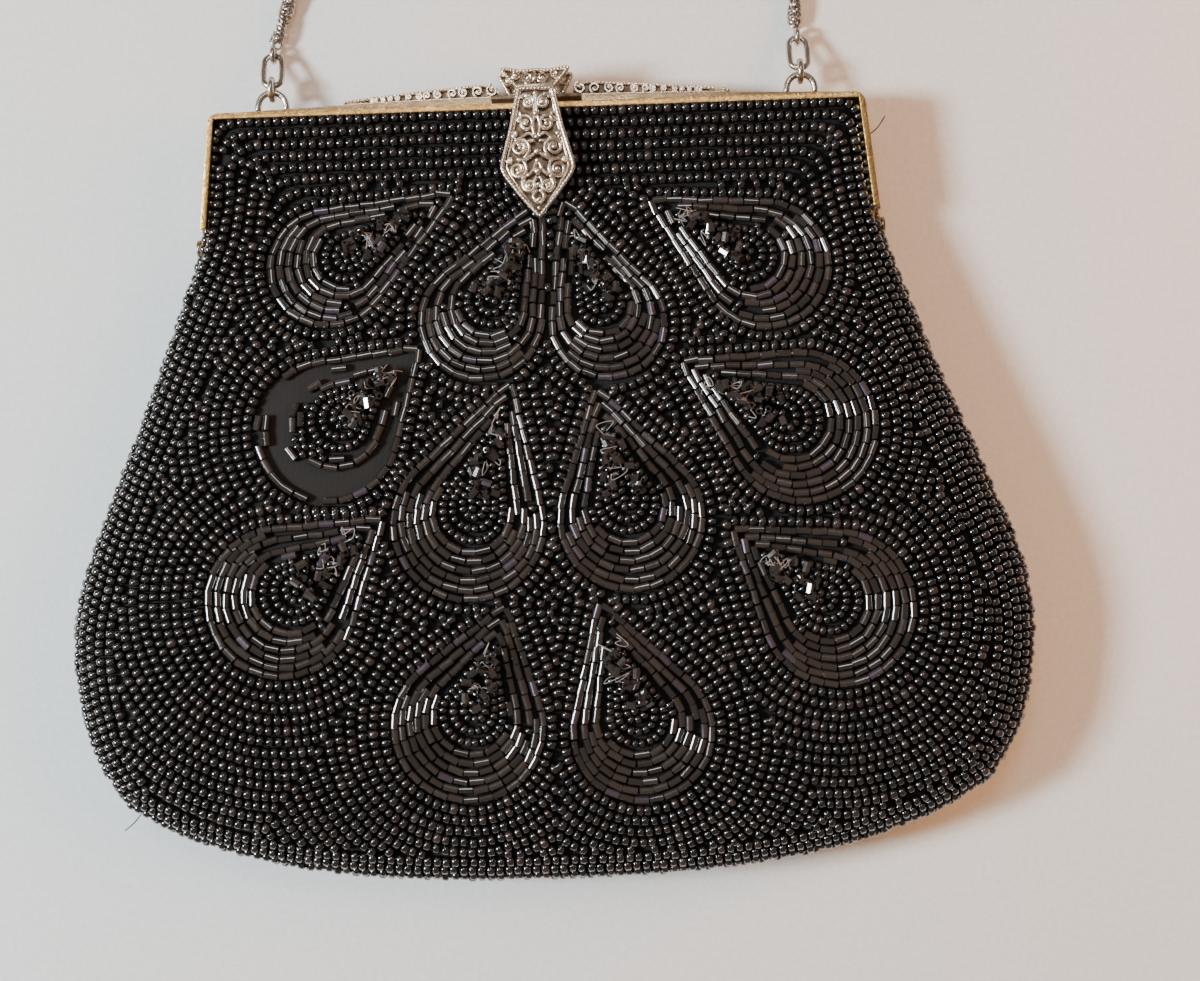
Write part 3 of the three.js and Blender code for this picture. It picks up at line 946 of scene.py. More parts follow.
@dataclass(frozen=True)
class Motif:
    """A teardrop of bugle beads: its round end, its tip, and whether its bugles have come away."""

    centre: tuple[float, float]
    radius: float
    tip: tuple[float, float]
    worn: bool = False
    tip_radius: float = 0.9

    @property
    def band(self) -> float:
        """Width of the bugles' band beside the round end."""
        return 0.5 * self.radius - 0.65

    def line(self, inset: float, pull: float) -> Points:
        """Closed teardrop line.

        Args:
            inset: How far inside the outer edge it runs.
            pull: How far its tip is drawn back.

        Returns:
            Its points, starting and ending at the tip.
        """
        centre, tip = np.array(self.centre), np.array(self.tip)
        axis = tip - centre
        length = np.linalg.norm(axis)
        along = axis / length
        drift = max(9.5 - self.band, 1.5) / self.band
        centre = centre + along * (drift * min(inset, self.band) + 0.3 * max(inset - self.band, 0))
        tip = tip - along * pull
        length = np.linalg.norm(tip - centre)
        across = np.array([-along[1], along[0]])
        big, small = self.radius - inset, self.tip_radius
        lean = np.clip((big - small) / max(length, 1e-6), -0.97, 0.97)
        start = math.acos(lean)
        angles = np.linspace(start, 2 * math.pi - start, 60)
        arc = [centre + big * (math.cos(a) * along + math.sin(a) * across) for a in angles]
        ends = [tip + small * (math.cos(a) * along + math.sin(a) * across) for a in (0.0, start)]
        back = [tip + small * (math.cos(a) * along - math.sin(a) * across) for a in (start, 0.0)]
        return np.array([*ends, *arc, *back])

    def distance(self, x: Points, y: Points) -> Points:
        """Signed distance of points from the teardrop's outer edge, negative inside."""
        centre, tip = np.array(self.centre), np.array(self.tip)
        length = np.linalg.norm(tip - centre)
        along = (tip - centre) / length
        forward = (x - centre[0]) * along[0] + (y - centre[1]) * along[1]
        aside = np.abs((y - centre[1]) * along[0] - (x - centre[0]) * along[1])
        lean = (self.radius - self.tip_radius) / length
        level = math.sqrt(1 - lean * lean)
        place = -lean * aside + level * forward
        near_round = np.hypot(aside, forward) - self.radius
        near_tip = np.hypot(aside, forward - length) - self.tip_radius
        between = aside * level + forward * lean - self.radius
        return np.where(place < 0, near_round, np.where(place > level * length, near_tip, between))


MOTIFS = (
    Motif((-43.5, -32.5), 12.5, (-18.4, -18.4)), Motif((-12.7, -44.5), 12.7, (0, -20.7)),
    Motif((13.3, -45.8), 12.0, (5.1, -20.9)), Motif((45.7, -34.8), 13.5, (23.2, -21.1)),
    Motif((-44, -65.9), 14.8, (-25.6, -50), worn=True), Motif((-16.2, -85.6), 15.6, (-7, -58)),
    Motif((16.4, -85.5), 14.8, (10.5, -60)), Motif((51.3, -68.2), 15.6, (28.2, -54.5)),
    Motif((-54.2, -99.8), 15.4, (-33.8, -84.3)), Motif((57.2, -104.8), 15.8, (37, -88.7)),
    Motif((-17.6, -126.1), 15.5, (-9.6, -102.6)), Motif((17.2, -128.4), 14.5, (9.7, -102.7)),
)


@dataclass
class RowPlan:
    """Rows of seed beads that follow the bag's outline and, further in, its motifs."""

    form: BagForm
    row_pitch: float = 2.42
    near_pitch: float = 2.25
    bead_pitch: float = 1.86
    least_gap: float = 1.62
    bead_depth: float = 0.75
    back_depth: float = 1.08
    cell: float = 0.6
    corner_ease: float = 6.0
    drift: float = 0.07
    edge_rise: float = 0.95
    fill_step: float = 0.8
    fill_gap: float = 1.68
    fill_inset: float = 5.0

    def travel_tables(self, puff: Puff) -> tuple[Points, list[Points]]:
        """Distance along the surface from the seam, for flat distances and for shares of full swelling."""
        flat = np.linspace(0, 1, 400) ** 3 * 90
        tables = []
        for grown in np.linspace(0, 1, 9):
            reach = puff.edge_at_frame + (puff.edge - puff.edge_at_frame) * grown
            full = puff.at_frame + (puff.full - puff.at_frame) * grown
            away = 1 - np.clip(flat / reach, 0, 1)
            rise = full * (1 - away ** self.form.power) ** (1 / self.form.power)
            steps = np.hypot(np.diff(flat), np.diff(rise))
            tables.append(np.concatenate([[0], np.cumsum(steps)]))
        return flat, tables

    def blended(self, puff: Puff, y: Points, read: Callable) -> Points:
        """Reads a value off the two tables nearest to the swelling at each y."""
        grown = smooth((-y - puff.starts) / puff.grows) * 8
        low = np.clip(np.floor(grown).astype(int), 0, 7)
        share = grown - low
        values = np.array([read(number) for number in range(9)])
        columns = np.arange(values.shape[1])
        return values[low, columns] * (1 - share) + values[low + 1, columns] * share

    def outline_rows(self, facing: int, levels: Sequence[float]) -> list[Points]:
        """Rows at distances along the surface from the outline.

        Args:
            facing: 1 for the front, -1 for the back.
            levels: The distances.

        Returns:
            Flat polylines.
        """
        form, puff = self.form, self.form.front if facing > 0 else self.form.back
        xs, ys = np.arange(-100.8, 100.9, self.cell), np.arange(-161.4, 0.2, self.cell)
        grid_x, grid_y = np.meshgrid(xs, ys)
        x, y = grid_x.ravel(), grid_y.ravel()
        flat, tables = self.travel_tables(puff)
        distance = form.seam_distance(x, y)
        travel = self.blended(puff, y, lambda number: np.interp(distance, flat, tables[number]))
        travel = np.where(form.inside(x, np.minimum(y, form.top - 0.01)), travel, -4 * distance)
        below_bar = form.top + 0.3 - y
        closer = np.clip(self.corner_ease - np.abs(travel - below_bar), 0, None) / self.corner_ease
        values = np.minimum(travel, below_bar) - closer ** 2 * self.corner_ease / 4
        values = values.reshape(grid_x.shape)
        rows = []
        for level in levels:
            for line in contour(xs, ys, values, level):
                rows.append(self.on_seam(puff, line, level, flat, tables))
        return rows

    def on_seam(self, puff: Puff, line: Points, level: float, flat: Points, tables: list) -> Points:
        """Moves the part of a row that follows the seam to its exact distance from it."""
        seam = self.form.seam
        ahead = np.gradient(seam, axis=0)
        inward = np.stack([ahead[:, 1], -ahead[:, 0]], 1)
        inward /= np.linalg.norm(inward, axis=1)[:, None]
        inward *= np.sign(((MIDDLE - seam) * inward).sum(1))[:, None]
        side = np.sign(line[:, 0])
        right = np.stack([np.abs(line[:, 0]), line[:, 1]], 1)
        gap = np.linalg.norm(right[:, None] - seam[None], axis=2)
        nearest = gap.argmin(1)
        direction = self.unit(ahead[nearest])
        foot = seam[nearest] + ((right - seam[nearest]) * direction).sum(1)[:, None] * direction
        due = self.blended(puff, right[:, 1],
                           lambda number: np.full(len(line), np.interp(level, tables[number], flat)))
        moved = foot + inward[nearest] * due[:, None]
        share = smooth((self.form.top + 0.3 - line[:, 1] - level - self.corner_ease) / 3)[:, None]
        near = (due < 9)[:, None]
        result = np.where(near, right * (1 - share) + moved * share, right)
        return np.stack([result[:, 0] * side, result[:, 1]], 1)

    @staticmethod
    def unit(vectors: Points) -> Points:
        """Vectors of length 1."""
        return vectors / np.maximum(np.linalg.norm(vectors, axis=1), 1e-9)[:, None]

    def motif_distance(self, x: Points, y: Points) -> Points:
        """Distance from the nearest motif."""
        return np.min([motif.distance(x, y) for motif in MOTIFS], axis=0)

    def motif_rows(self) -> list[Points]:
        """Rows around the motifs, nearest first."""
        xs, ys = np.arange(-100.8, 100.9, self.cell), np.arange(-161.4, 0.2, self.cell)
        values = self.motif_distance(*np.meshgrid(xs, ys))
        rows = []
        for level in np.arange(1.3, 42, self.near_pitch):
            rows += contour(xs, ys, values, level)
        return rows

    def outer_share(self, flat: Points, travel: Points) -> Points:
        """True where a row follows the outline and not the motifs."""
        x, y = flat[:, 0], flat[:, 1]
        top, bottom = smooth((y + 42) / 24), smooth((-y - 122) / 16)
        limit = 14.0 + 3.0 * top - 4.0 * bottom
        ratio = 1.5 + 3.5 * top + 0.3 * bottom
        away = np.maximum(self.motif_distance(x, y), 0)
        return travel < np.minimum(limit, ratio * away)

    def depth(self, facing: int) -> float:
        """How deep the beads' middles lie below one side's surface."""
        return self.bead_depth if facing > 0 else self.back_depth

    def place(self, facing: int, rows: list[Points], spacing: Spacing, first: int,
              random: np.random.Generator, keep: Callable | None = None) -> Sewing:
        """Sets beads along rows, leaving out those that would lie in an earlier one.

        Args:
            facing: 1 for the front, -1 for the back.
            rows: Flat polylines.
            spacing: What is already sewn.
            first: Number of the first row.
            random: Source of the small shifts.
            keep: Mask of flat points, or None for all.

        Returns:
            The beads' places.
        """
        sewing = Sewing()
        for number, row in enumerate(rows, first):
            on, _ = self.form.lifted(facing, row)
            at, _ = spaced(on, self.bead_pitch)
            if not len(at):
                continue
            flat = at[:, :2]
            shift = random.normal(0, self.drift, (len(at), 2))
            inside = self.form.inside(flat[:, 0], flat[:, 1])
            mask = inside & (flat[:, 1] < self.form.top - 0.1)
            if keep is not None:
                mask &= keep(flat)
            placed, out = self.form.lifted(facing, flat + shift, -self.depth(facing))
            if len(placed) > 2:
                ahead = self.unit(np.gradient(placed, axis=0))
            else:
                ahead = np.tile((1.0, 0, 0), (len(placed), 1))
            for index in np.nonzero(mask)[0]:
                if spacing.near(placed[index], number) >= self.least_gap:
                    spacing.keep(placed[index], number)
                    sewing.add(placed[index], ahead[index], out[index])
        return sewing

    def seam_rows(self, facing: int, spacing: Spacing, first: int) -> Sewing:
        """The row that runs round the very edge of one side."""
        sewing = Sewing()
        loop = np.vstack([self.form.seam, (self.form.seam * (-1, 1))[::-1][1:]])
        loop = loop[loop[:, 1] < -2.4] if facing < 0 else loop[loop[:, 1] < -24]
        line = np.column_stack([loop, np.full(len(loop), self.form.parting + facing * self.edge_rise)])
        at, ahead = spaced(line, self.bead_pitch)
        out = self.unit(np.stack([ahead[:, 1], -ahead[:, 0], np.zeros(len(at))], 1))
        out *= np.sign((out[:, :2] * (at[:, :2] - MIDDLE)).sum(1))[:, None]
        for place, direction, outward in zip(at - out * self.bead_depth, ahead, out):
            if spacing.near(place, first) >= self.least_gap:
                spacing.keep(place, first)
                sewing.add(place, direction, outward)
        return sewing

    def filled(self, facing: int, spacing: Spacing, keep: Callable, number: int) -> Sewing:
        """Beads in what room the rows have left."""
        sewing = Sewing()
        xs, ys = np.meshgrid(np.arange(-98, 98, self.fill_step), np.arange(-158, -2.2, self.fill_step))
        flat = np.stack([xs.ravel(), ys.ravel()], 1)
        flat = flat[self.form.inside(flat[:, 0], flat[:, 1]) & keep(flat)]
        flat = flat[self.form.seam_distance(flat[:, 0], flat[:, 1]) > self.fill_inset]
        placed, out = self.form.lifted(facing, flat, -self.depth(facing))
        for at, outward in zip(placed, out):
            if spacing.near(at, -1) >= self.fill_gap:
                spacing.keep(at, number)
                sewing.add(at, (1.0, 0.15, 0.0), outward)
        return sewing


@dataclass
class Beadwork:
    """The bag's two sides: their cloth, their seed beads, and the motifs on the front."""

    form: BagForm
    tree: SewingTree
    cloth_depth: float = 1.6
    back_cloth_depth: float = 1.95
    bends_above: float = -44.0
    motif_bends_above: float = -62.0
    bugle_rows: int = 6
    bugle_pitch: float = 3.12
    first_inset: float = 0.65
    tip_pull: float = 1.3
    lost: tuple = (0.12, 0.97, 0.95, 0.9, 0.45, 0.3)
    seed_bead: Bead = Bead(Shape.SEED, 1.66, 2.32, 0.8, 9)
    inner_bead: Bead = Bead(Shape.SEED, 1.4, 1.95, 0.8, 8)
    back_bead: Bead = Bead(Shape.SEED, 1.6, 2.0, 0.8, 6)
    bugle: Bead = Bead(Shape.BUGLE, 3.02, 1.66, 0.8, 10)
    cut_bead: Bead = Bead(Shape.CUT, 2.1, 1.5, 0.9, 6)

    def cloth(self, name: str, facing: int, depth: float, finish: bpy.types.Material, inset: float = 0.0,
              rows: int = 84) -> bpy.types.Object:
        """Cloth of one side.

        Args:
            name: The piece's name.
            facing: 1 for the front, -1 for the back.
            depth: How far it lies below the beads' tops.
            finish: Its material.
            inset: How far its edge keeps inside the seams.
            rows: Steps from the bar to the bottom.

        Returns:
            The cloth.
        """
        grid = self.form.grid(rows, rows + 12, inset)
        count, across = grid.shape[:2]
        flat = grid.reshape(-1, 2)
        points = np.column_stack([flat, self.form.height(facing, flat[:, 0], flat[:, 1]) - facing * depth])
        limit = self.form.parting + facing * 0.12
        points[:, 2] = np.maximum(points[:, 2], limit) if facing > 0 else np.minimum(points[:, 2], limit)
        corner = np.arange((count - 1) * across).reshape(count - 1, across)[:, :-1].ravel()
        faces = np.stack([corner, corner + across, corner + across + 1, corner + 1], 1)
        if facing < 0:
            faces = faces[:, ::-1]
        obj = new_object(name, to_row(points), faces)
        dress(obj, finish)
        return obj

    def bare(self, cloth: bpy.types.Object) -> None:
        """Marks the cloth that shows where a motif has lost its bugles."""
        points = np.array([vertex.co for vertex in cloth.data.vertices]) / MM
        x, y = points[:, 0], points[:, 1] - DATUM_Y
        shown = np.zeros(len(points), np.float32)
        for motif in MOTIFS:
            if motif.worn:
                shown = np.maximum(shown, smooth((0.4 - motif.distance(x, y)) / 2.0))
                shown *= smooth((motif.distance(x, y) + motif.band + 2.5) / 3.0)
        layer = cloth.data.attributes.new("bareness", "FLOAT", "POINT")
        layer.data.foreach_set("value", shown.astype(np.float32))

    def front_rows(self) -> dict[str, Sewing]:
        """Places of the front's seed beads."""
        plan = RowPlan(self.form)
        random = np.random.default_rng(41)
        spacing = Spacing()
        sewn = {"edge": plan.seam_rows(1, spacing, 1000)}
        plan_rows = Sewing()
        for number, level in enumerate(np.arange(0.6, 20, plan.row_pitch)):
            rows = plan.outline_rows(1, [level])
            keep = lambda flat, travel=level: plan.outer_share(flat, np.full(len(flat), travel))
            part = plan.place(1, rows, spacing, 100 * number, random, keep)
            self.extend(plan_rows, part)
        sewn["outline"] = plan_rows
        outside = lambda flat: plan.motif_distance(flat[:, 0], flat[:, 1]) > 0.9
        sewn["around"] = plan.place(1, plan.motif_rows(), spacing, 5000, random, outside)
        sewn["filled"] = plan.filled(1, spacing, outside, 9000)
        return sewn

    def back_rows(self) -> Sewing:
        """Places of the back's seed beads."""
        plan = RowPlan(self.form, cell=0.9)
        random = np.random.default_rng(42)
        spacing = Spacing()
        sewing = plan.seam_rows(-1, spacing, 1000)
        rows = plan.outline_rows(-1, np.arange(0.6, 90, plan.row_pitch + 0.1))
        self.extend(sewing, plan.place(-1, rows, spacing, 0, random))
        return sewing

    @staticmethod
    def extend(whole: Sewing, part: Sewing) -> None:
        """Adds one list of places to another."""
        for at, along, out in zip(part.at, part.along, part.out):
            whole.add(at, along, out)

    def motif_beads(self) -> tuple[Sewing, Sewing, Sewing]:
        """Places of the motifs' bugles, inner seed beads and raised cut beads."""
        random = np.random.default_rng(7)
        bugles, seeds, cuts = Sewing(), Sewing(), Sewing()
        plan = RowPlan(self.form)
        for motif in MOTIFS:
            spacing = Spacing()
            for row in range(self.bugle_rows):
                inset = self.first_inset + row * motif.band / (self.bugle_rows - 1)
                lost = self.lost[row] if motif.worn else 0.0
                line = motif.line(inset, 0.6 + row * self.tip_pull)
                self.lay(line, self.bugle_pitch, 1.25, 0.8, spacing, row, bugles, random, plan, 1.1, lost)
            inset = self.first_inset + motif.band + 1.75
            row = 50
            while motif.radius - inset > 0.9:
                pull = 0.6 + (self.bugle_rows - 1) * self.tip_pull + (inset - motif.band) * 1.1
                self.lay(motif.line(inset, pull), 1.5, 1.34, 0.75, spacing, row, seeds, random, plan)
                inset += 1.85
                row += 1
            self.fill_motif(motif, spacing, seeds)
            self.raise_cluster(motif, cuts, random, plan)
        return bugles, seeds, cuts

    def fill_motif(self, motif: Motif, spacing: Spacing, seeds: Sewing) -> None:
        """Seed beads in what room a motif's rows have left, clear of a worn motif's bare band.

        Args:
            motif: The motif.
            spacing: What is already sewn in it.
            seeds: Where the places are added.
        """
        step, least, edge = 0.5, 1.42, 0.9
        reach = motif.radius + step
        (centre_x, centre_y), (tip_x, tip_y) = motif.centre, motif.tip
        xs, ys = np.meshgrid(np.arange(min(centre_x - reach, tip_x), max(centre_x + reach, tip_x), step),
                             np.arange(centre_y - reach, tip_y + 1, step))
        flat = np.stack([xs.ravel(), ys.ravel()], 1)
        within = -motif.distance(flat[:, 0], flat[:, 1])
        flat = flat[within > (motif.band + 1.6 if motif.worn else edge)]
        placed, out = self.form.lifted(1, flat, -0.85)
        run, rise = tip_x - centre_x, tip_y - centre_y
        along = np.array([run, rise, 0.0]) / np.hypot(run, rise)
        for at, outward in zip(placed, out):
            if spacing.near(at, -1) >= least:
                spacing.keep(at, 0)
                seeds.add(at, along, outward)

    def lay(self, line: Points, pitch: float, gap: float, depth: float, spacing: Spacing, number: int,
            sewing: Sewing, random: np.random.Generator, plan: RowPlan, reach: float = 0.0,
            lost: float = 0.0) -> None:
        """Lays beads along one motif line.

        Args:
            line: The flat line.
            pitch: Distance between beads.
            gap: Least distance from other rows.
            depth: Depth of the beads' middles below the bag's surface.
            spacing: What is already sewn in this motif.
            number: The row's number.
            sewing: Where the places are added.
            random: Source of the small shifts.
            plan: The row plan.
            reach: How far to either side along the thread a bead is tested.
            lost: Share of beads that have come away.
        """
        on, _ = self.form.lifted(1, line)
        at, _ = spaced(on, pitch)
        flat = at[:, :2] + random.normal(0, 0.06, (len(at), 2))
        placed, out = self.form.lifted(1, flat, -depth)
        _, ahead = spaced(on, pitch)
        ahead = ahead - (ahead * out).sum(1)[:, None] * out
        shares = (-1, 0, 1) if reach else (0,)
        for place, direction, outward in zip(placed, plan.unit(ahead), out):
            tested = [place + direction * reach * share for share in shares]
            if min(spacing.near(point, number) for point in tested) >= gap and random.random() >= lost:
                for point in tested:
                    spacing.keep(point, number)
                sewing.add(place, direction, outward)

    def raise_cluster(self, motif: Motif, cuts: Sewing, random: np.random.Generator, plan: RowPlan,
                      count: int = 17) -> None:
        """Heap of cut beads that stands in a motif near its tip."""
        centre, tip = np.array(motif.centre), np.array(motif.tip)
        along = plan.unit((tip - centre)[None])[0]
        across = np.array([-along[1], along[0]])
        length = np.linalg.norm(tip - centre)
        steps = (np.arange(count) + 0.5) / count
        forward = length * (0.18 + 0.5 * steps) + random.normal(0, 0.5, count)
        aside = random.uniform(-1, 1, count) * (3.9 - 2.2 * steps)
        flat = centre + forward[:, None] * along + aside[:, None] * across
        placed, out = self.form.lifted(1, flat, 0.0)
        lifts = random.uniform(0.3, 2.3, count)
        for place, outward, lift in zip(placed, out, lifts):
            turn = random.normal(0, 1, 3) * (1, 1, 0.55)
            cuts.add(place + outward * lift, turn / np.linalg.norm(turn), outward)

    def threads(self, thread: bpy.types.Material, black: bpy.types.Material) -> list[bpy.types.Object]:
        """Loops of thread that show in the heaps of cut beads, and hairs that have come loose.

        Args:
            thread: Finish of the thread.
            black: Finish of the hairs.

        Returns:
            The loops high up, the loops further down, and the hairs.
        """
        random = np.random.default_rng(19)
        upper, lower, hairs = Wirework(), Wirework(), Wirework()
        for motif in MOTIFS:
            work = upper if motif.centre[1] > self.motif_bends_above else lower
            middle, tip = np.array(motif.centre), np.array(motif.tip)
            for _ in range(5):
                place = middle + (tip - middle) * random.uniform(0.3, 0.78) + random.normal(0, 1.0, 2)
                corners = place + random.normal(0, 1.15, (6, 2))
                flat = spline([tuple(corner) for corner in corners], 8)
                on, out = self.form.lifted(1, flat, 0.0)
                share = np.linspace(0, 1, len(flat))
                lift = np.interp(share, [0, 0.2, 0.5, 0.8, 1], [0, 1.1, 2.0, 1.3, 0.1])
                work.wire(on + out * lift[:, None], 0.085, 5)
        for height, points in ((10, ((67.6, -8.8), (69.9, -7.0), (71.6, -4.6))),
                               (5, ((-86, -141.5), (-88.6, -145), (-91, -147)))):
            hairs.wire([(x, y, height) for x, y in spline(points, 8)], 0.12, 5)
        return [upper.finished("thread_loops_upper", thread), lower.finished("thread_loops_lower", thread),
                hairs.finished("loose_hairs", black)]

    def make(self, seed_glass: bpy.types.Material, bugle_glass: bpy.types.Material,
             crepe: bpy.types.Material, thread: bpy.types.Material) -> None:
        """Makes every piece of the beadwork; the pieces flagged to bend stay where they are made, the rest
        go on the bag's body.
        """
        front = self.cloth("front_cloth", 1, self.cloth_depth, crepe)
        self.bare(front)
        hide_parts("front_panel_upper", "front_panel_lower")
        back = self.cloth("back_cloth", -1, self.back_cloth_depth, crepe)
        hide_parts("back_panel")
        pieces = {front: True, back: False}
        for number, (part, sewing) in enumerate(self.front_rows().items()):
            high = np.array([at[1] > self.bends_above for at in sewing.at], bool)
            left = np.array([at[0] < 0 for at in sewing.at], bool)
            for suffix, mask, bends in (("upper", high, True), ("lower_left", ~high & left, False),
                                        ("lower_right", ~high & ~left, False)):
                if mask.any():
                    name = f"front_{part}_beads_{suffix}"
                    piece = self.tree.sew(name, sewing.picked(mask), self.seed_bead, seed_glass,
                                          3 + number)
                    pieces[piece] = bends
        bugles, seeds, cuts = self.motif_beads()
        for name, sewing, bead, finish, tilt in (("bugles", bugles, self.bugle, bugle_glass, 0.08),
                                                 ("motif_seeds", seeds, self.inner_bead, seed_glass, 0.12),
                                                 ("cut_beads", cuts, self.cut_bead, bugle_glass, 0.3)):
            high = np.array([at[1] > self.motif_bends_above for at in sewing.at], bool)
            for suffix, mask in (("upper", high), ("lower", ~high)):
                piece = self.tree.sew(f"{name}_{suffix}", sewing.picked(mask), bead, finish, 17,
                                      tilt=tilt)
                pieces[piece] = suffix == "upper"
        back_sewing = self.back_rows()
        height = np.array([at[1] for at in back_sewing.at])
        low_edge, high_edge = np.quantile(height, (1 / 3, 2 / 3))
        back_beads = []
        between = (height > low_edge) & (height <= high_edge)
        for suffix, mask in (("upper", height > high_edge), ("middle", between),
                             ("lower", height <= low_edge)):
            piece = self.tree.sew(f"back_beads_{suffix}", back_sewing.picked(mask), self.back_bead,
                                  seed_glass, 29 + len(back_beads))
            pieces[piece] = False
            back_beads.append(piece)
        for piece, bends in zip(self.threads(thread, crepe), (True, False, False)):
            pieces[piece] = bends
        for piece, bends in pieces.items():
            if bends:
                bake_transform(piece)
            else:
                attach(piece, "bag_body")


# ------------------------------------------------------------------------------------------------ metalwork


class Wirework:
    """Collects wires and bosses into one mesh; everything in millimetres from the bar's corner line."""

    def __init__(self) -> None:
        """Starts empty."""
        self.vertices: list = []
        self.faces: list = []

    def wire(self, line: Points, radius: float, sides: int = 7, closed: bool = False,
             flat: float = 1.0) -> None:
        """Adds a wire along a line.

        Args:
            line: Its centreline.
            radius: Its radius; open ends taper.
            sides: Facets round it.
            closed: True joins its ends.
            flat: Height of its section as a share of its width.
        """
        line = np.asarray(line, float)
        ahead = np.roll(line, -1, 0) - np.roll(line, 1, 0) if closed else np.gradient(line, axis=0)
        ahead /= np.maximum(np.linalg.norm(ahead, axis=1), 1e-9)[:, None]
        side = np.cross(ahead, (0.02, 0.03, 1.0))
        side /= np.linalg.norm(side, axis=1)[:, None]
        up = np.cross(side, ahead) * flat
        first, count = len(self.vertices), len(line)
        widths = np.full(count, radius)
        if not closed:
            widths[[0, -1]] *= 0.6
        for place, width, one, two in zip(line, widths, side, up):
            for step in range(sides):
                angle = 2 * math.pi * step / sides
                self.vertices.append(place + width * (math.cos(angle) * one + math.sin(angle) * two))
        for step in range(count if closed else count - 1):
            here, after = first + step * sides, first + (step + 1) % count * sides
            for turn in range(sides):
                beside = (turn + 1) % sides
                self.faces.append((here + turn, after + turn, after + beside, here + beside))
        if not closed:
            self.faces.append(tuple(first + turn for turn in range(sides)))
            self.faces.append(tuple(first + (count - 1) * sides + turn for turn in reversed(range(sides))))

    def boss(self, at: Sequence[float], radius: float, tall: float = 1.0, around: int = 10) -> None:
        """Adds a rounded boss.

        Args:
            at: Its middle.
            radius: Its radius.
            tall: Its height as a share of its width.
            around: Facets round it.
        """
        first = len(self.vertices)
        rings = 5
        at = np.asarray(at, float)
        for ring in range(1, rings):
            polar = math.pi * ring / rings
            for step in range(around):
                angle = 2 * math.pi * step / around
                out = np.array([math.cos(angle), math.sin(angle), 0.0]) * math.sin(polar)
                self.vertices.append(at + radius * (out + (0, 0, math.cos(polar) * tall)))
        for ring in range(rings - 2):
            for step in range(around):
                here, beside = first + ring * around + step, first + ring * around + (step + 1) % around
                self.faces.append((here, here + around, beside + around, beside))
        self.faces.append(tuple(first + step for step in range(around)))
        self.faces.append(tuple(first + (rings - 2) * around + step for step in reversed(range(around))))

    def plate(self, edge: Points, thickness: float) -> None:
        """Adds a flat plate.

        Args:
            edge: Its closed edge, anticlockwise, at its top.
            thickness: How thick it is.
        """
        first, count = len(self.vertices), len(edge)
        self.vertices += [*edge, *(edge - (0, 0, thickness))]
        self.faces.append(tuple(range(first, first + count)))
        self.faces.append(tuple(range(first + 2 * count - 1, first + count - 1, -1)))
        for step in range(count):
            after = (step + 1) % count
            self.faces.append((first + after, first + step, first + count + step, first + count + after))

    def bead_line(self, line: Points, pitch: float, radius: float) -> None:
        """Adds a line of grains."""
        for at in spaced(np.asarray(line, float), pitch)[0]:
            self.boss(at, radius, around=7)

    def finished(self, name: str, material: bpy.types.Material) -> bpy.types.Object:
        """Makes the piece, with its normals outwards."""
        obj = new_object(name, to_row(np.array(self.vertices)), self.faces)
        dress(obj, material, 60.0)
        return obj


def spiral(centre: tuple[float, float], radius: float, start: float, turns: float, z: Callable,
           eye: float = 0.3) -> Points:
    """Spiral that winds in from a start angle.

    Args:
        centre: Its middle.
        radius: Its outer radius.
        start: Start angle in degrees.
        turns: Turns, negative clockwise.
        z: Height at an x and y.
        eye: Radius where it ends, as a share of the outer one.

    Returns:
        Its points.
    """
    share = np.linspace(0, 1, max(10, int(abs(turns) * 18)))
    angle = math.radians(start) + 2 * math.pi * turns * share
    reach = radius * (1 - (1 - eye) * share ** 0.8)
    x, y = centre[0] + reach * np.cos(angle), centre[1] + reach * np.sin(angle)
    return np.stack([x, y, z(x, y)], 1)


def curve_through(points: Sequence[tuple[float, float]], z: Callable) -> Points:
    """Smooth line through flat points, at a height."""
    flat = spline(points, 7)
    return np.column_stack([flat, z(flat[:, 0], flat[:, 1])])


def both(line: Points) -> tuple[Points, Points]:
    """A line and its mirror image."""
    return line, line * (-1, 1, 1)


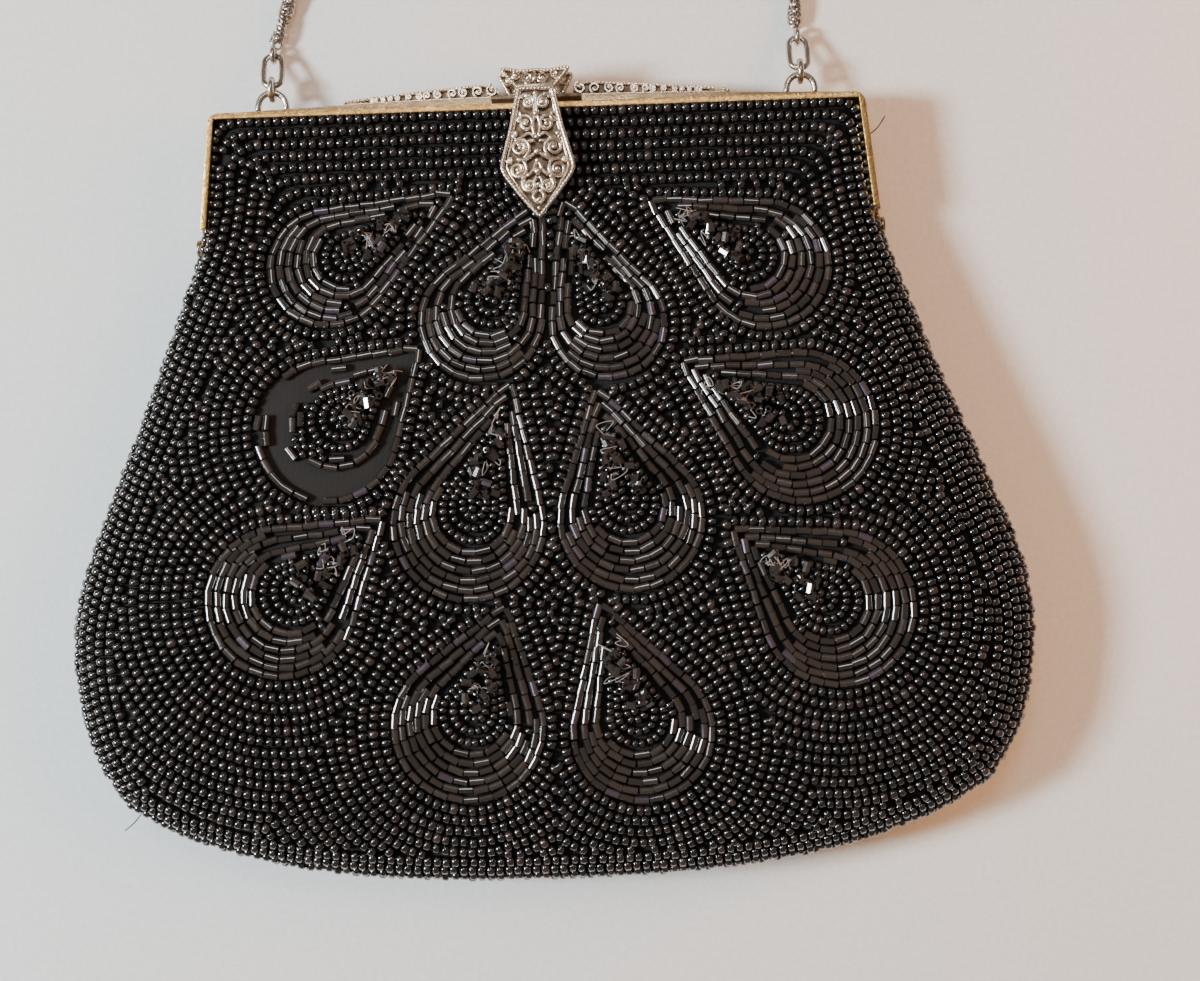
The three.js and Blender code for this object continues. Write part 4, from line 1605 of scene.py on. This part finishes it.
@dataclass
class Clasp:
    """The drop clasp, the crest behind it, and the galleries beside it, all of pierced work, over dark
    plates that paint the shade in the piercings.
    """

    silver: bpy.types.Material
    # Finish of the plates under the pierced work: near-black, as painted shade in the piercings.
    dark: bpy.types.Material
    pendant_z: float = 16.3
    leaf_z: float = 14.4
    rear_z: float = 6.75
    pin: tuple[float, float] = (2.9, 16.1)
    knuckle: float = 0.62
    edge: tuple = ((3.3, 2.3), (5.1, -5.5), (7.05, -12.3), (7.25, -13.7), (6.7, -15.1), (3.6, -19.3),
                   (0.0, -23.6))
    # Each scroll has its centre, radius, start angle and turns.
    scrolls: tuple = (
        ((1.5, -0.6), 1.4, 60, 1.5), ((2.1, -4.9), 1.9, 20, 1.35), ((3.4, -9.7), 2.15, 250, -1.6),
        ((4.0, -14.1), 2.0, 120, 1.5), ((1.75, -17.4), 1.55, 60, -1.5), ((5.6, -12.1), 0.7, 10, -1.1),
        ((4.4, -6.9), 0.7, 250, 1.1))
    stems: tuple = (
        ((0.15, 1.6), (0.2, -1.6), (0.3, -3.2)), ((0.25, -3.2), (0.75, -5.2), (0.35, -7.6)),
        ((0.3, -7.6), (1.6, -6.9), (3.0, -7.6), (4.6, -8.3)), ((0.35, -8.4), (1.9, -8.6), (2.9, -10.2)),
        ((0.4, -10.8), (1.5, -11.6), (2.6, -12.2), (4.3, -12.0)), ((0.3, -12.6), (0.9, -14.2), (2.2, -15.6)),
        ((2.3, -15.4), (3.2, -16.4), (3.0, -18.0)), ((0.2, -18.2), (1.1, -19.6), (0.2, -21.2)),
        ((3.3, -2.4), (3.0, -3.6), (3.7, -4.6)), ((1.5, 0.9), (2.4, 0.9), (2.9, 0.2)),
        ((0.2, -15.6), (0.8, -16.6), (0.3, -18.0)))

    def dome(self, x: Points, y: Points) -> Points:
        """Height of the pendant's work, raised along its middle."""
        return self.pendant_z + 0.75 * np.clip(1 - (np.abs(x) / 5.0) ** 2, 0, 1)

    def make_pendant(self) -> bpy.types.Object:
        """The swinging pendant."""
        work = Wirework()
        flat_z = lambda x, y: np.full(np.shape(x), self.pendant_z)
        half = self.polyline(self.edge, flat_z)
        whole = np.vstack([half, (half * (-1, 1, 1))[::-1][1:]])
        work.wire(whole, 0.5, closed=True, flat=1.1)
        rim = whole + (0, 0, 0.42)
        work.bead_line(np.vstack([rim, rim[:1]]), 0.72, 0.33)
        inner = half * (0.86, 1, 1) + (0, 0.25, 0.0)
        for line in both(inner):
            work.wire(line, 0.22)
        for centre, radius, start, turns in self.scrolls:
            for line in both(spiral(centre, radius, start, turns, self.dome)):
                work.wire(line, 0.42, flat=1.2)
            for side in (1, -1):
                at = (side * centre[0], centre[1], self.dome(centre[0], 0) + 0.12)
                work.boss(at, 0.3 + 0.12 * radius)
        for points in self.stems:
            for line in both(curve_through(points, self.dome)):
                work.wire(line, 0.4, flat=1.2)
        for y, radius in ((-10.6, 0.75), (-14.6, 0.85), (-7.6, 0.5), (-20.4, 0.6), (-2.9, 0.5), (-12.4, 0.5),
                          (-17.2, 0.42), (-22.0, 0.4), (1.2, 0.45)):
            work.boss((0, y, self.dome(0, y) + 0.2), radius, 0.9)
        pin_y, pin_z = self.pin
        for side in (-1, 1):
            work.wire([(side * 0.05, pin_y, pin_z), (side * 1.6, pin_y, pin_z)], self.knuckle, 14)
            work.wire([(side * 1.2, pin_y - 0.2, pin_z), (side * 2.4, 2.2, self.pendant_z),
                       (side * 3.3, 2.2, self.pendant_z)], 0.45)
        piece = work.finished("clasp_pendant_work", self.silver)
        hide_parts("clasp_pendant")
        return piece

    def polyline(self, points: Sequence[tuple[float, float]], z: Callable) -> Points:
        """Straight-sided line through points, with small steps."""
        flat = spaced(np.array(points, float), 0.6)[0]
        flat = np.vstack([points[0], flat, points[-1]])
        return np.column_stack([flat, z(flat[:, 0], flat[:, 1])])

    def make_fan(self, name: str, node: str, corners: Sequence[tuple[float, float]], z: float,
                 scrolls: Sequence[tuple], foot: bool) -> bpy.types.Object:
        """A flared pierced plate.

        Args:
            name: The piece's name.
            node: The CAD node that it replaces.
            corners: Its right-hand corners, low then high.
            z: Its height.
            scrolls: Its right-hand spirals.
            foot: True adds the foot and the fixed knuckles.

        Returns:
            The piece.
        """
        work = Wirework()
        height = lambda x, y: np.full(np.shape(x), z)
        (low_x, low_y), (high_x, high_y) = corners
        half = self.polyline([(0, low_y), (low_x, low_y), (high_x, high_y), (high_x - 0.9, high_y + 0.1),
                              (high_x * 0.45, high_y - 0.5), (0, high_y - 0.25)], height)
        whole = np.vstack([half, (half * (-1, 1, 1))[::-1][1:-1]])
        work.wire(whole, 0.42, closed=True, flat=1.1)
        work.bead_line(np.vstack([whole, whole[:1]]) + (0, 0, 0.36), 0.7, 0.3)
        for centre, radius, start, turns in scrolls:
            for line in both(spiral(centre, radius, start, turns, height)):
                work.wire(line, 0.29, flat=1.4)
            for side in (1, -1):
                work.boss((side * centre[0], centre[1], z + 0.2), 0.3)
        work.wire(curve_through([(0, low_y), (0.0, high_y - 0.4)], height), 0.3, flat=1.3)
        work.boss((0, (low_y + high_y) / 2, z + 0.25), 0.7, 0.8)
        pin_y, pin_z = self.pin
        for side in (-1, 1) if foot else ():
            work.wire([(side * 2.2, 2.75, 10.5), (side * 2.2, 2.75, z)], 0.4)
            work.wire([(side * 1.95, pin_y, pin_z), (side * 2.9, pin_y, pin_z)], self.knuckle, 14)
            work.wire([(side * 2.5, pin_y, pin_z - 0.3), (side * 2.5, pin_y, z)], 0.5)
        piece = work.finished(name, self.silver)
        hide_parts(node)
        return piece

    def make_shade_plate(self, name: str, corners: Sequence[tuple[float, float]], z: float) -> bpy.types.Object:
        """Low dark plate under pierced work, from its right-hand corners: painted shade that stands in for
        the shadow in the piercings.
        """
        right = [(x, y, z) for x, y in corners]
        left = [(-x, y, z) for x, y in corners[::-1] if x]
        work = Wirework()
        work.plate(np.array([*right, *left], float)[::-1], 0.3)
        return work.finished(name, self.dark)

    def make_gallery(self, side: int) -> list[bpy.types.Object]:
        """Pierced leaf that rises from the rear bar beside the clasp, and the dark plate behind it, which
        paints the shade between its scrolls.
        """
        work = Wirework()
        name = "left" if side < 0 else "right"
        low, high = (np.array(corner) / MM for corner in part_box(f"gallery_{name}"))
        inner, outer = sorted((abs(low[0]), abs(high[0])))
        foot, top = low[1] - DATUM_Y, high[1] - DATUM_Y
        share = np.linspace(0, 1, 44)
        x = inner + (outer - inner) * share
        fall = (top - foot) * (1 - share) ** 0.8
        base = 0.8 + 1.4 * (1 - (x / 65.3) ** 2) + 0.35
        rise = np.interp(share, [0, 0.02, 0.05, 0.1, 1], [0.1, 0.55, 0.82, 1, 1])
        lower = np.stack([side * x, base, np.full_like(x, self.rear_z)], 1)
        upper = lower + np.stack([0 * x, 0.3 + 2.3 * (1 - share) ** 0.8 * rise, 0 * x], 1)
        work.wire(lower + (0, 0, 0.35), 0.28)
        work.wire(upper + (0, 0, 0.35), 0.34, flat=1.2)
        work.bead_line(upper + (0, 0.1, 0.63), 0.75, 0.26)
        raised = lambda x, y: np.full(np.shape(x), self.rear_z + 0.4)
        place = 0.05
        hand = 1
        while place < 0.86:
            index = int(place * (len(x) - 1))
            tall = max(fall[index] * 0.42, 0.32)
            centre = (side * x[index], base[index] + 0.15 + tall * 0.95)
            work.wire(spiral(centre, tall, 90 * hand, 1.3 * hand, raised), 0.3, 6, flat=1.3)
            work.boss((*centre, self.rear_z + 0.5), 0.22 + 0.16 * tall, around=8)
            place += (tall * 2.0 + 0.45) / (outer - inner)
            hand = -hand
        # The plate behind the leaf is near-black as painted shade between the scrolls.
        shade_sheet = Wirework()
        edge = np.vstack([lower, upper[::-1]])
        shade_sheet.plate(edge[::-side], self.rear_z + 0.1 - low[2])
        plate = shade_sheet.finished(f"gallery_backing_{name}", self.dark)
        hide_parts(f"gallery_{name}")
        return [work.finished(f"gallery_work_{name}", self.silver), plate]

    def make(self) -> None:
        """Makes every piece, on its body."""
        fan = (((1.5, 4.9), 1.25, 200, 1.4), ((3.9, 5.5), 0.95, -20, -1.3), ((2.2, 3.3), 0.6, 90, 1.2))
        rear_fan = (((2.6, 5.4), 1.4, 200, 1.4), ((5.6, 5.9), 1.2, -20, -1.3), ((4.4, 3.7), 0.8, 90, 1.2))
        # Each shade plate lies just under its work and paints the shade in its piercings.
        pendant = [self.make_pendant(),
                   self.make_shade_plate("pendant_ground", self.edge, self.pendant_z - 0.35)]
        leaf = [self.make_shade_plate("leaf_ground", ((6.9, 6.6), (3.2, 2.6)), self.leaf_z - 0.3),
                self.make_fan("clasp_leaf_work", "clasp_bracket", ((3.2, 2.6), (6.9, 6.7)), self.leaf_z,
                              fan, True)]
        crest = [self.make_shade_plate("crest_ground", ((7.6, 6.9), (5.4, 2.7)), self.rear_z - 0.3),
                 self.make_fan("rear_crest_work", "rear_crest", ((5.4, 2.7), (7.6, 6.9)), self.rear_z,
                               rear_fan, False)]
        ridden = {"clasp_drop": pendant, "front_half": leaf,
                  "bag_body": [*crest, *self.make_gallery(-1), *self.make_gallery(1)]}
        for node in ("clasp_pin", "snap_post"):
            piece = bevelled(node, f"{node}_turned", 0.12)
            dress(piece, self.silver, SHARP_METAL)
            ridden["front_half"].append(piece)
        for body, pieces in ridden.items():
            for piece in pieces:
                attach(piece, body)


@dataclass
class FrameMetal:
    """The two frame halves, their rivets, and the plate under the clasp, which is painted near-black as the
    shade of the gap beside the clasp.
    """

    front: bpy.types.Material
    rear: bpy.types.Material
    painted_shade_finish: bpy.types.Material
    base_squeeze: tuple[float, float, float] = (0.72, 1.0, 0.35)

    def make(self) -> None:
        """Makes every piece, on its body."""
        for node, finish, body, width in (("front_frame", self.front, "front_half", 0.24),
                                          ("rear_frame", self.rear, "bag_body", 0.24),
                                          # The clasp base takes the near-black finish: painted shade of the
                                          # gap beside the clasp.
                                          ("clasp_base", self.painted_shade_finish, "front_half", 0.15),
                                          ("hinge_rivet_left", self.rear, "bag_body", 0.2),
                                          ("hinge_rivet_right", self.rear, "bag_body", 0.2)):
            piece = bevelled(node, f"{node}_metal", width)
            if node == "clasp_base":
                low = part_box(node)[0][2]
                squeeze = Matrix.Diagonal((*self.base_squeeze, 1))
                piece.data.transform(Matrix.Translation((0, 0, low)) @ squeeze
                                     @ Matrix.Translation((0, 0, -low)))
            dress(piece, finish, SHARP_METAL)
            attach(piece, body)


@dataclass(frozen=True)
class Link:
    """One leaning oval link of the rope chain."""

    long: float = 1.45
    short: float = 0.92
    wire: float = 0.3
    lean: float = 47.0
    aside: float = 0.38
    around: int = 12
    sides: int = 6

    def build(self) -> bpy.types.Object:
        """Makes the link at the origin with the chain's line along X, in metres."""
        lean = math.radians(self.lean)
        one = np.array([math.cos(lean), math.sin(lean), 0.0])
        two = np.array([0.0, 0.0, 1.0])
        normal = np.cross(one, two)
        vertices, faces = [], []
        for step in range(self.around):
            turn = 2 * math.pi * step / self.around
            middle = self.long * math.cos(turn) * one + (self.short * math.sin(turn) + self.aside) * two
            out = math.cos(turn) * one + math.sin(turn) * two
            for side in range(self.sides):
                angle = 2 * math.pi * side / self.sides
                vertices.append(middle + self.wire * (math.cos(angle) * out + math.sin(angle) * normal))
                here, after = step * self.sides, (step + 1) % self.around * self.sides
                beside = (side + 1) % self.sides
                faces.append((here + side, here + beside, after + beside, after + side))
        obj = new_object("link_pattern", np.array(vertices), faces, MM)
        obj.data.shade_smooth()
        return obj


@dataclass
class Handle:
    """The chain handle, its rings, and the lugs that carry them."""

    tree: SewingTree
    metal: bpy.types.Material
    route: tuple = (
        (-54.4, 16.2), (-51.6, 24), (-49.4, 34), (-49, 47), (-49.6, 62), (-48.4, 78), (-42.5, 95),
        (-31, 108), (-16, 116), (1, 118.5), (18, 116), (33, 108.5), (44.5, 96), (51, 80), (53.6, 63),
        (54.6, 46), (54.9, 31),
        (54.4, 16.2))
    height: float = 1.8
    diameter: float = 3.4
    fuller_lug: float = 0.17
    fuller_ring: float = 0.2
    link_pitch: float = 0.62
    twist: float = 194.0

    def make(self) -> None:
        flat = spline(self.route, 16)
        line = np.column_stack([flat, np.full(len(flat), self.height)])
        at, ahead = spaced(line, self.link_pitch)
        sewing = Sewing()
        side = np.cross(ahead, (0, 0, 1.0))
        for number, (place, direction, across) in enumerate(zip(at, ahead, side)):
            angle = math.radians(self.twist * number)
            up = np.array([0, 0, math.sin(angle)])
            sewing.add(place, direction, math.cos(angle) * across + up)
        chain = self.tree.sew("rope_chain", sewing, Link(), self.metal, 5, 0.02, 0.04)
        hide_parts("chain")
        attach(chain, "chain_handle")
        for name in ("left", "right"):
            lug = rounded(f"handle_lug_{name}", f"lug_wire_{name}", self.fuller_lug)
            dress(lug, self.metal)
            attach(lug, "bag_body")
            for kind in ("jump_ring", "oval_ring", "end_ring"):
                ring = rounded(f"{kind}_{name}", f"{kind}_wire_{name}", self.fuller_ring)
                dress(ring, self.metal)
                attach(ring, "chain_handle")
        self.diameter * MM


@dataclass
class Lining:
    """The satin inside the bag, and its pocket."""

    beadwork: Beadwork
    satin: bpy.types.Material
    depth: float = 2.9
    inset: float = 1.4
    rows: int = 44

    def make(self) -> None:
        """Makes the three cloths; the back lining and the pocket go on the bag's body."""
        given = (self.depth, self.satin, self.inset, self.rows)
        front = self.beadwork.cloth("front_lining_cloth", 1, *given)
        front.data.flip_normals()
        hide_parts("front_lining_upper", "front_lining_lower")
        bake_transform(front)
        back = self.beadwork.cloth("back_lining_cloth", -1, *given)
        back.data.flip_normals()
        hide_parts("back_lining")
        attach(back, "bag_body")
        pocket = bevelled("inner_pocket", "pocket_cloth", 0.2)
        dress(pocket, self.satin, 40.0)
        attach(pocket, "bag_body")


# ------------------------------------------------------------------------------------------------ stage


@dataclass(frozen=True)
class Lamp:
    """An area light that faces the bag."""

    name: str
    place: tuple[float, float, float]
    size: float
    power: float
    colour: tuple[float, float, float]
    mirrored: bool = True

    def make(self) -> None:
        """Puts the light in the scene."""
        light = bpy.data.lights.new(self.name, "AREA")
        light.size = self.size
        light.energy = self.power
        light.color = self.colour
        obj = bpy.data.objects.new(self.name, light)
        obj.location = self.place
        obj.rotation_euler = (-Vector(self.place)).to_track_quat("-Z", "Y").to_euler()
        obj.visible_glossy = self.mirrored
        bpy.context.scene.collection.objects.link(obj)


@dataclass
class Stage:
    """Pale table, soft light and the camera."""

    look_at: tuple[float, float, float] = (0.0103, -0.0041, 0.015)
    distance: float = 0.42
    lens: float = 62.0
    turn: float = -2.0
    lamps: tuple = (Lamp("window", (-0.75, 0.0, 0.62), 0.2, 20.0, (0.88, 0.96, 1.0)),
                    Lamp("lamp", (0.5, 0.12, 0.3), 0.45, 5.0, (1.0, 0.42, 0.13), mirrored=False),
                    Lamp("ceiling", (-0.1, 0.5, 1.1), 0.3, 3.0, (0.95, 0.98, 1.0)))
    room_colour: tuple[float, float, float] = (1.0, 0.86, 0.74)
    room_strength: float = 0.26
    table_half: float = 1.4
    table_gap: float = 0.0003

    def make_camera(self) -> None:
        """Camera straight above the bag."""
        camera = bpy.data.cameras.new("camera")
        camera.lens = self.lens
        camera.clip_start = 0.01
        obj = bpy.data.objects.new("camera", camera)
        obj.location = Vector(self.look_at) + Vector((0, 0, self.distance))
        obj.rotation_euler = (0, 0, math.radians(self.turn))
        bpy.context.scene.collection.objects.link(obj)
        bpy.context.scene.camera = obj

    def make_light(self) -> None:
        """Cool window light from the left over warm light from the room."""
        for lamp in self.lamps:
            lamp.make()
        world = bpy.data.worlds.new("world")
        world.use_nodes = True
        background = world.node_tree.nodes["Background"]
        background.inputs["Color"].default_value = (*self.room_colour, 1.0)
        background.inputs["Strength"].default_value = self.room_strength
        bpy.context.scene.world = world

    def make_table(self) -> None:
        """The table that the bag lies on."""
        graph = Graph("table")
        tone = graph.noise(900.0, 4.0, 0.7)
        colour = graph.ramp(tone, [(0.3, (0.6, 0.62, 0.63)), (0.7, (0.7, 0.72, 0.72))])
        material = graph.surface({"Base Color": colour, "Roughness": 0.85})
        edge = self.table_half
        corners = np.array([(-edge, -edge, 0), (edge, -edge, 0), (edge, edge, 0), (-edge, edge, 0)])
        table = new_object("table", corners, [(0, 1, 2, 3)])
        dress(table, material)
        table.location = (0, 0, min(0.0, cad_box[0][2]) - self.table_gap)


def main() -> None:
    """Makes the whole scene."""
    logging.basicConfig(level=logging.INFO, format="%(message)s")
    stage = Stage()
    stage.make_camera()
    form = BagForm()
    tree = SewingTree()
    chain_metal = CHAIN_METAL.material()
    Handle(tree, chain_metal).make()
    beadwork = Beadwork(form, tree)
    beadwork.make(SEED_GLASS.material(), BUGLE_GLASS.material(), BLACK_CREPE.material(), THREAD.material())
    # One near-black finish paints the shade under the clasp and behind the pierced work.
    shade_paint_metal = SHADE_PAINT_METAL.material()
    FrameMetal(FRONT_GILT.material(), REAR_GILT.material(), shade_paint_metal).make()
    Clasp(CLASP_SILVER.material(), shade_paint_metal).make()
    Lining(beadwork, SATIN.material()).make()
    stage.make_light()
    stage.make_table()


if __name__ == "__main__":
    main()
